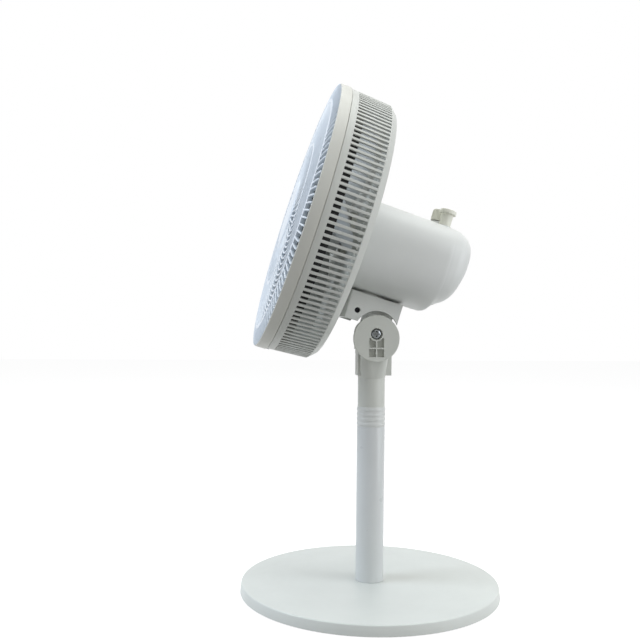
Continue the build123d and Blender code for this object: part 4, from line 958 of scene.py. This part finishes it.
@dataclass
class RearGuard:
    """Drum with long slots, solid chamfer, two rows of bars in the back and a solid hub."""

    front: float = -134.3
    front_radius: float = 182.3
    # gap to the ring of the front guard
    seam: float = 0.6
    slot_front: float = -124.5
    slot_rear: float = -79.3
    corner: float = -78.4
    corner_radius: float = 178.6
    back: float = -67.7
    back_rim: float = -70.0
    back_radius: float = 171.0
    wall: float = 2.5
    back_wall: float = 3.0
    ring: Point2 = (117.0, 122.0)
    outer_ring: float = 163.0
    hub: float = 82.0
    bore: float = 18.0
    drum_slot: float = 4.2
    back_slot: float = 3.4
    bevel: float = 0.45
    # how far a bar's ends reach into the bands
    overlap: float = 0.6

    def radius(self, y: float) -> float:
        """Outside radius of the drum at y."""
        share = (y - self.front) / (self.corner - self.front)
        return self.front_radius + (self.corner_radius - self.front_radius) * share

    def drum_bar(self) -> Piece:
        """One bar of the drum with chamfered edges, from band to band."""
        sections = []
        for step in range(7):
            y = self.slot_front - self.overlap + (self.slot_rear - self.slot_front + 2 * self.overlap) * step / 6
            r, bevel = self.radius(y), self.bevel
            half = (math.tau * r / BarCount.DRUM - self.drum_slot) / 2
            corners = [(r, half - bevel), (r - bevel, half), (r - self.wall, half - 0.3), (r - self.wall, 0.3 - half),
                       (r - bevel, -half), (r, bevel - half)]
            sections.append(millimetres([(x, across, y) for x, across in corners]))
        return lofted("drum_bars", sections)

    def back_y(self, radius: float) -> float:
        """Place of the back's outer face, a very flat cone, at a radius."""
        share = (radius - self.hub) / (self.back_radius - self.hub)
        return self.back + (self.back_rim - self.back) * share

    def back_bar(self, name: str, count: BarCount, inner: float, outer: float) -> Piece:
        """One radial bar of the back, as wide as the slots beside it leave."""
        sections = []
        for step in range(5):
            r = inner - self.overlap + (outer - inner + 2 * self.overlap) * step / 4
            half = (math.tau * r / count - self.back_slot) / 2
            rear, bevel = self.back_y(r), self.bevel
            front = rear - self.back_wall
            corners = [(half, front), (half, rear - bevel), (half - bevel, rear), (bevel - half, rear),
                       (-half, rear - bevel), (-half, front)]
            sections.append(millimetres([(r, across, y) for across, y in corners]))
        return lofted(name, sections)

    def build(self, around: ShapeTree) -> None:
        """Build bands, bars and hub as one guard."""
        wall, thick, rear, rim = self.wall, self.back_wall, self.back, self.back_rim
        front_r, slot_r, edge = self.front_radius, self.radius(self.slot_front), self.front + self.seam
        outer, outer_y = self.outer_ring, self.back_y(self.outer_ring)
        ring_in, ring_out = self.back_y(self.ring[0]), self.back_y(self.ring[1])
        pieces = [
            turned("front_band", [
                (front_r, edge, 0.6), (slot_r, self.slot_front, 0.3), (slot_r - wall, self.slot_front, 0.3),
                (front_r - wall, edge, 0.3)], segments=288),
            turned("rear_band", [
                (self.radius(self.slot_rear), self.slot_rear, 0.2), (self.corner_radius, self.corner, 0.3),
                (self.back_radius, rim, 0.9), (outer, outer_y, 0.3), (outer, outer_y - thick, 0.3),
                (self.back_radius - 1.2, rim - thick, 1.0), (self.corner_radius - wall, self.corner - 1, 0.5),
                (self.radius(self.slot_rear) - wall, self.slot_rear, 0.2)], segments=288, steps=5),
            turned("back_ring", [
                (self.ring[0], ring_in - thick, 0.3), (self.ring[1], ring_out - thick, 0.3),
                (self.ring[1], ring_out, 0.6), (self.ring[0], ring_in, 0.6)], segments=216),
            turned("back_hub", [
                (self.bore, rear - thick, 0.3), (self.hub, rear - thick, 0.3), (self.hub, rear, 0.8),
                (self.bore, rear, 0.3)], segments=144),
        ]
        bars = {
            BarCount.DRUM: self.drum_bar(),
            BarCount.BACK_OUTER: self.back_bar("outer_bars", BarCount.BACK_OUTER, self.ring[1], outer),
            BarCount.BACK_INNER: self.back_bar("inner_bars", BarCount.BACK_INNER, self.hub, self.ring[0]),
        }
        # half a slot's turn lays a slot, not a bar, at the start
        pieces += [repeated(around, bar, count.value, math.pi / count) for count, bar in bars.items()]
        guard = joined("rear_guard_cage", pieces)
        guard.data.transform(FAN)
        fit(guard, Body.HEAD, "rear_guard", Finish.REAR_GUARD, "rear_guard")


@dataclass
class FrontGuard:
    """Ring and domed grille of radial ribs, with an intermediate ring and a plain centre cap."""

    ring_radius: float = 183.8
    ring_front: float = -148.7
    ring_rear: float = -134.3
    lip_width: float = 2.6
    crown: float = 10.0
    dome_radius: float = 183.0
    rib_depth: float = 5.6
    ring: float = 159.0
    inner_ring: float = 98.0
    ring_half: float = 2.4
    # count, width, inner and outer radius of each zone of ribs, and the degrees that they would turn to the ring
    zones: dict[str, tuple[int, float, float, float, float]] = field(default_factory=lambda: {
        "outer_ribs": (120, 2.4, 159.0, 181.9, 0.0),
        "middle_ribs": (90, 2.4, 98.0, 159.0, 24.0),
        "inner_ribs": (60, 2.4, 46.5, 98.0, 24.0),
    })
    rib_rounding: float = 1.05
    rib_stations: int = 12
    cap: float = 45.8
    # radius, distance behind the ring's rear edge and rounding of each corner of the lip inside the drum
    lip_corners: tuple[Point3, ...] = ((181.8, -4.0, 0.3), (181.8, -0.5, 0.2), (179.7, -0.5, 0.2), (179.3, 6.0, 0.3),
                                       (177.5, 6.0, 0.3), (177.9, -4.0, 0.3))
    # front, rear and outside radius of the black band behind the lip: painted shade that darkens the drum slots'
    # front ends, where the inside lies in shade
    band_of_shade: Point3 = (-130.5, -114.5, 177.9)

    def dome(self, radius: float) -> float:
        """Place of the dome's front face at a radius."""
        return self.ring_front - self.crown * math.sqrt(max(0.0, 1 - (radius / self.dome_radius) ** 2))

    def band_on_dome(self, name: str, inner: float, outer: float) -> Piece:
        """Ring that follows the dome between two radii."""
        front = [(inner + (outer - inner) * i / 4, self.dome(inner + (outer - inner) * i / 4)) for i in range(5)]
        corners = [(r, h, 0.6 if i in (0, 4) else 0) for i, (r, h) in enumerate(front)]
        corners += [(outer, self.dome(outer) + self.rib_depth, 0.6), (inner, self.dome(inner) + self.rib_depth, 0.6)]
        return turned(name, corners, segments=192)

    def ribs(self, tree: ShapeTree, name: str) -> Piece:
        """One zone of ribs, made by the rib tree."""
        count, width, inner, outer, swirl = self.zones[name]
        seed = mesh_object(name, [], [])
        sizes = {"Inner Radius": inner, "Outer Radius": outer, "Dome Radius": self.dome_radius,
                 "Crown": self.crown, "Front": self.ring_front, "Width": width,
                 "Depth": self.rib_depth, "Rounding": self.rib_rounding,
                 "Swirl From": self.cap, "Swirl To": self.ring}
        return tree.run(seed, {"Ribs": count, "Steps": self.rib_stations, "Start": math.pi / count,
                               "Swirl": -math.radians(swirl), **{label: size * MM for label, size in sizes.items()}})

    def build(self, dome_ribs: ShapeTree) -> None:
        """Build the rim, the ribs, the rings and the cap."""
        wall = self.lip_width
        rim = turned("rim", [
            (self.ring_radius, self.ring_front, 1.0), (self.ring_radius, self.ring_rear, 0.4),
            (self.ring_radius - wall, self.ring_rear, 0.3), (self.ring_radius - wall - 1.0, self.ring_front + 6, 1.0),
            (self.ring_radius - wall - 1.0, self.ring_front, 0.8)], segments=288, steps=5)
        lip = turned("inner_lip", [(r, self.ring_rear + y, soft) for r, y, soft in self.lip_corners], segments=288)
        border = joined("grille_rim", [rim, lip])
        border.data.transform(FAN)
        fit(border, Body.HEAD, "front_guard", Finish.GUARD, "front_guard")
        # painted shade: a near-black band behind the lip, seen through the drum's slots, stands for the shade inside
        band_front, band_rear, band_radius = self.band_of_shade
        band_of_shade = turned("painted_shade_band", [
            (band_radius, band_front, 0.3), (band_radius - 0.2, band_rear, 0.5), (band_radius - 1.6, band_rear, 0.5),
            (band_radius - 1.4, band_front, 0.3)], FAN, 288)
        fit(band_of_shade, Body.HEAD, "rubber_feet", Finish.PAINTED_SHADE_BAND)
        pieces = [self.ribs(dome_ribs, name) for name in self.zones]
        for name, middle in (("outer_ring", self.ring), ("inner_ring", self.inner_ring)):
            pieces.append(self.band_on_dome(name, middle - self.ring_half, middle + self.ring_half))
        pieces.append(self.band_on_dome("cap_seat", self.cap - 3, self.cap + 3.2))
        # ribs and rings: white plastic with painted cool front light in their bluish tint
        grille = joined("front_grille", pieces)
        grille.data.transform(FAN)
        fit(grille, Body.HEAD, "front_guard", Finish.GRILLE_WITH_PAINTED_LIGHT, "front_guard")
        edge = self.dome(self.cap)
        plate = turned("centre_cap", [
            (0, edge + 2.0), (self.cap - 0.3, edge + 2.0, 0.4), (self.cap - 0.3, edge - 0.5, 0.9),
            (self.cap - 6, edge - 1.5, 3.0), (0, edge - 2.0)], FAN, steps=6)
        # the centre cap shares the ribs' white with painted cool front light
        fit(plate, Body.HEAD, "front_guard", Finish.GRILLE_WITH_PAINTED_LIGHT, "grille_cap")


@dataclass
class Impeller:
    """Five twisted blades on a domed hub."""

    blades: int = 5
    tip: float = 149.6
    thickness: float = 2.2
    # share of the thickness on the axis, and how much less it is at the tip
    root_share: float = 1.15
    thinning: float = 0.5
    camber: float = 0.06
    edge_power: int = 6
    hub: float = 33.0
    hub_front: float = -120.0
    hub_rear: float = -84.0
    chord_steps: int = 20
    sharp: float = 60.0
    # radius, chord, pitch, sweep angle, place of the middle of the chord
    stations: list[Sequence[float]] = field(default_factory=lambda: [
        (29.0, 38, 40, 0, -102), (50.0, 62, 37, 1, -102.5), (75.0, 87, 32.5, 2.2, -103),
        (112.0, 112, 26, 5, -104), (136.0, 119, 22.5, 8, -104.7), (149.4, 108, 21, 10, -105)])

    def blade(self) -> Piece:
        """One blade with a cambered, thinning section and a rounded tip."""
        sections = []
        for radius, chord, pitch, sweep, middle in smooth_between(self.stations, 5):
            outline = []
            thin = self.thickness * (self.root_share - self.thinning * radius / self.tip)
            for step in range(2 * self.chord_steps):
                way = step / self.chord_steps
                share, side = (way, 1) if way < 1 else (2 - way, -1)
                along = (share - 0.5) * chord
                camber = -self.camber * chord * (1 - (2 * share - 1) ** 2)
                body = side * thin / 2 * math.sqrt(max(0.0, 1 - (2 * share - 1) ** self.edge_power))
                across = camber + body
                p = math.radians(pitch)
                y = middle + along * math.sin(p) + across * math.cos(p)
                z = -(along * math.cos(p)) + across * math.sin(p)
                turn = math.atan2(z, radius) + math.radians(sweep)
                outline.append(Vector((radius * math.cos(turn), -radius * math.sin(turn), y)) * MM)
            sections.append(outline)
        return lofted("blades", sections, sharp=self.sharp)

    def build(self, around: ShapeTree) -> None:
        """Build blades and hub as one wheel."""
        blades = repeated(around, self.blade(), self.blades, sharp=self.sharp)
        hub = turned("hub", [
            (4, self.hub_front, 0.3), (self.hub, self.hub_front, 6.5), (self.hub, self.hub_rear, 0.6),
            (self.hub - 3, self.hub_rear, 0.6), (self.hub - 3, self.hub_front + 4, 3.0), (9, self.hub_front + 4, 1.0),
            (9, self.hub_rear - 2, 0.5), (4, self.hub_rear - 2, 0.3)], segments=96, steps=6)
        wheel = joined("fan_wheel", [blades, hub])
        wheel.data.transform(FAN)
        fit(wheel, Body.ROTOR, "blade", Finish.BLADE, "fan_blade")


@dataclass
class Controls:
    """Speed dial and pull knob on top of the cover."""

    dial: Point3 = (-5.0, 46.0, 13.6)
    dial_span: Point2 = (176.8, 192.8)
    knob: Point3 = (25.0, 46.0, 8.2)
    knob_span: Point2 = (160.0, 190.6)
    knob_cap: Point2 = (11.4, 184.6)
    grips: int = 36

    def build(self, around: ShapeTree) -> None:
        """Build both controls."""
        x, y, radius = self.dial
        low, high = self.dial_span
        dial = turned("dial_body", [
            (3, low + 1, 0.2), (radius - 1.6, low + 1, 0.2), (radius - 1.6, low, 0.2), (radius - 0.2, low, 0.5),
            (radius - 0.6, high, 1.3), (0, high), (0, high - 5), (3, high - 5, 0.1)], segments=96, steps=5)
        mark = lofted("pointer", [millimetres([(-w, -radius - 1, z), (w, -radius - 1, z), (w, -5, z), (-w, -5, z)])
                                  for w, z in ((0.5, high - 0.7), (0.8, high + 1))])
        subtract(dial, mark)
        flute = turned("flutes", [(0, low + 2), (0.55, low + 2), (0.55, high - 2), (0, high - 2)], segments=12)
        repeated(around, flute, self.grips, 0.0, radius - 0.4)
        body = joined("dial_knob", [dial, flute])
        body.data.transform(HEAD @ moved(x, y))
        fit(body, Body.DIAL, "controls", Finish.CONTROL, "speed_dial")
        x, y, radius = self.knob
        low, high = self.knob_span
        cap, under = self.knob_cap
        knob = turned("pull_knob", [
            (2.2, low, 0.2), (radius, low, 0.5), (radius, under, 0.8), (cap - 0.4, under, 0.7),
            (cap, under + 1.5, 0.8), (cap - 0.3, high, 1.6), (0, high), (0, high - 6), (2.2, high - 6, 0.1)],
            HEAD @ moved(x, y), 96, steps=6)
        fit(knob, Body.KNOB, "controls", Finish.CONTROL, "swing_knob")


class CarriedOver:
    """CAD pieces that keep their own mesh and only get a finish."""

    finishes: dict[Finish, list[str]] = {
        Finish.BALLAST: ["base_weight"],
        Finish.ZINC: ["tilt_nut", "cover_screws", "chassis_screws", "guard_screw", "swivel_circlip"],
        Finish.BLACK_SCREW: ["bracket_screws"],
        Finish.INNER: ["pole_nut", "speed_switch", "gearbox_case", "worm_wheel", "output_pinion", "crank_gear",
                       "link", "guard_nut", "blade_nut", "tilt_washers", "thrust_washer"],
        Finish.NECK: ["neck_fork"],
        Finish.BRACKET: ["tilt_bracket"],
        Finish.STEEL: ["swivel_post", "link_pin", "crank_axle", "motor_shaft", "drive_pin", "switch_shaft",
                       "clutch_rod", "chassis", "motor_mount_plate"],
        Finish.BRONZE: ["swivel_bush", "motor_bushes"],
        Finish.LAMINATION: ["stator_core", "rotor_core"],
        Finish.CASTING: ["front_end_shield", "rear_end_shield"],
        Finish.COPPER: ["stator_windings"],
        Finish.CAPACITOR: ["capacitor"],
        Finish.GLAND: ["cord_gland"],
    }

    def dress(self) -> None:
        """Give every carried-over piece its finish."""
        for finish, names in self.finishes.items():
            for name in names:
                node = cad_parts[name]
                node.data.materials.clear()
                node.data.materials.append(finish.material())
            log.info("%s on %s", finish.value.name, ", ".join(names))


# ------------------------------------------------------------------ studio
@dataclass
class SoftLamp:
    """A large soft lamp.

    Attributes:
        name: name of the lamp.
        spot: where it hangs, in metres.
        aim: the point that it faces.
        size: width and height in metres.
        power: in watts.
        colour: display colour.
    """

    name: str
    spot: Point3
    aim: Point3
    size: Point2
    power: float
    colour: Colour = (255, 255, 255)

    def build(self) -> None:
        """Hang the lamp."""
        light = bpy.data.lights.new(self.name, "AREA")
        light.shape = "RECTANGLE"
        light.size, light.size_y = self.size
        light.energy = self.power
        light.color = linear(*self.colour)[:3]
        lamp = linked(self.name, light)
        lamp.location = self.spot
        toward = Vector(self.aim) - Vector(self.spot)
        lamp.rotation_euler = toward.to_track_quat("-Z", "Y").to_euler()


@dataclass
class Studio:
    """Pale floor, white surroundings, soft lamps and the photograph's camera."""

    lamps: list[SoftLamp] = field(default_factory=lambda: [
        SoftLamp("lamp_front", (0.1, -1.9, 1.3), (0, 0, 0.4), (1.2, 1.6), 28.0, (232, 242, 255)),
        SoftLamp("lamp_rear", (0.9, 1.7, 0.8), (0, 0, 0.4), (1.2, 1.6), 21.0, (246, 250, 255)),
        SoftLamp("lamp_top", (-0.1, 0.1, 2.3), (0, 0, 0.2), (2.0, 2.0), 26.0, (253, 255, 252)),
        SoftLamp("lamp_side", (1.7, 0.4, 1.9), (0, 0, 0.5), (1.2, 1.2), 2.6),
    ])
    focal: float = 48.15
    sensor: float = 36.0
    distance: float = 1.178
    azimuth: float = -11.5
    height: float = 0.377
    heading: float = 171.98
    pitch: float = -0.30
    roll: float = 0.62
    clip: Point2 = (0.05, 40.0)
    ambient: float = 0.33
    floor_half: float = 6.0
    # linear colours of the floor: under the lamps, and as the camera sees it, with its glow
    floor_matte: Colour = (0.34, 0.33, 0.32)
    floor_faint: Colour = (0.4, 0.4, 0.4)
    floor_glow: float = 0.84

    def camera(self) -> None:
        """Place the photograph's camera."""
        spot = turned_by(self.azimuth, "Z") @ Vector((self.distance, 0, self.height))
        lens = bpy.data.cameras.new("camera")
        lens.lens, lens.sensor_width, lens.sensor_fit = self.focal, self.sensor, "HORIZONTAL"
        lens.clip_start, lens.clip_end = self.clip
        eye = linked("camera", lens)
        # an unturned camera looks down, with its top towards +Y
        eye.matrix_world = (Matrix.Translation(spot) @ turned_by(self.heading - 90, "Z")
                            @ turned_by(90 + self.pitch, "X") @ turned_by(self.roll, "Z"))
        bpy.context.scene.camera = eye

    @staticmethod
    def seen(sheet: Sheet) -> Socket:
        """1 for rays that come from the camera, a mirror or glass, else 0."""
        rays = sheet.add("ShaderNodeLightPath").outputs
        shiny = sheet.math("MAXIMUM", rays["Is Glossy Ray"], rays["Is Transmission Ray"])
        return sheet.math("MAXIMUM", rays["Is Camera Ray"], shiny)

    def surroundings(self) -> None:
        """White surroundings that light the fan only softly."""
        world = bpy.data.worlds.new("white_room")
        world.use_nodes = True
        bpy.context.scene.world = world
        sheet = Sheet(world.node_tree)
        world.node_tree.nodes.clear()
        strength = sheet.add("ShaderNodeMapRange", {"Value": self.seen(sheet), "To Min": self.ambient,
                                                    "To Max": 1.0}).outputs[0]
        back = sheet.add("ShaderNodeBackground", {"Color": (1, 1, 1, 1), "Strength": strength})
        sheet.add("ShaderNodeOutputWorld", {"Surface": back.outputs[0]})

    def floor(self) -> None:
        """Pale floor that shows white and keeps the fan's shadow."""
        sheet = MaterialSheet("floor_white")
        sheet.tree.nodes.remove(sheet.shader)
        matte = sheet.add("ShaderNodeBsdfDiffuse", {"Color": (*self.floor_matte, 1)}).outputs[0]
        faint = sheet.add("ShaderNodeBsdfDiffuse", {"Color": (*self.floor_faint, 1)}).outputs[0]
        glow = sheet.add("ShaderNodeEmission", {"Color": (1, 1, 1, 1), "Strength": self.floor_glow}).outputs[0]
        shown = sheet.add("ShaderNodeAddShader", {0: faint, 1: glow}).outputs[0]
        mixed = sheet.add("ShaderNodeMixShader", {0: self.seen(sheet), 1: matte, 2: shown})
        output = next(n for n in sheet.tree.nodes if n.type == "OUTPUT_MATERIAL")
        sheet.tree.links.new(mixed.outputs[0], output.inputs["Surface"])
        half = self.floor_half
        corners = [Vector((x, y, 0)) for x, y in ((-half, -half), (half, -half), (half, half), (-half, half))]
        mesh = bpy.data.meshes.new("floor")
        mesh.from_pydata(corners, [], [(0, 1, 2, 3)])
        mesh.materials.append(sheet.material)
        linked("floor", mesh)

    def build(self) -> None:
        """Set up the whole studio."""
        bpy.context.scene.view_settings.view_transform = "Standard"
        self.camera()
        self.surroundings()
        self.floor()
        for lamp in self.lamps:
            lamp.build()


def main() -> None:
    """Build every sub-assembly and the studio."""
    logging.basicConfig(level=logging.INFO, format="%(name)s: %(message)s")
    around, dome_ribs = around_tree(), dome_rib_tree()
    CarriedOver().dress()
    Pedestal().build(around)
    TiltJoint().build()
    MotorCover().build()
    RearGuard().build(around)
    FrontGuard().build(dome_ribs)
    Impeller().build(around)
    Controls().build(around)
    Studio().build()


if __name__ == "__main__":
    main()
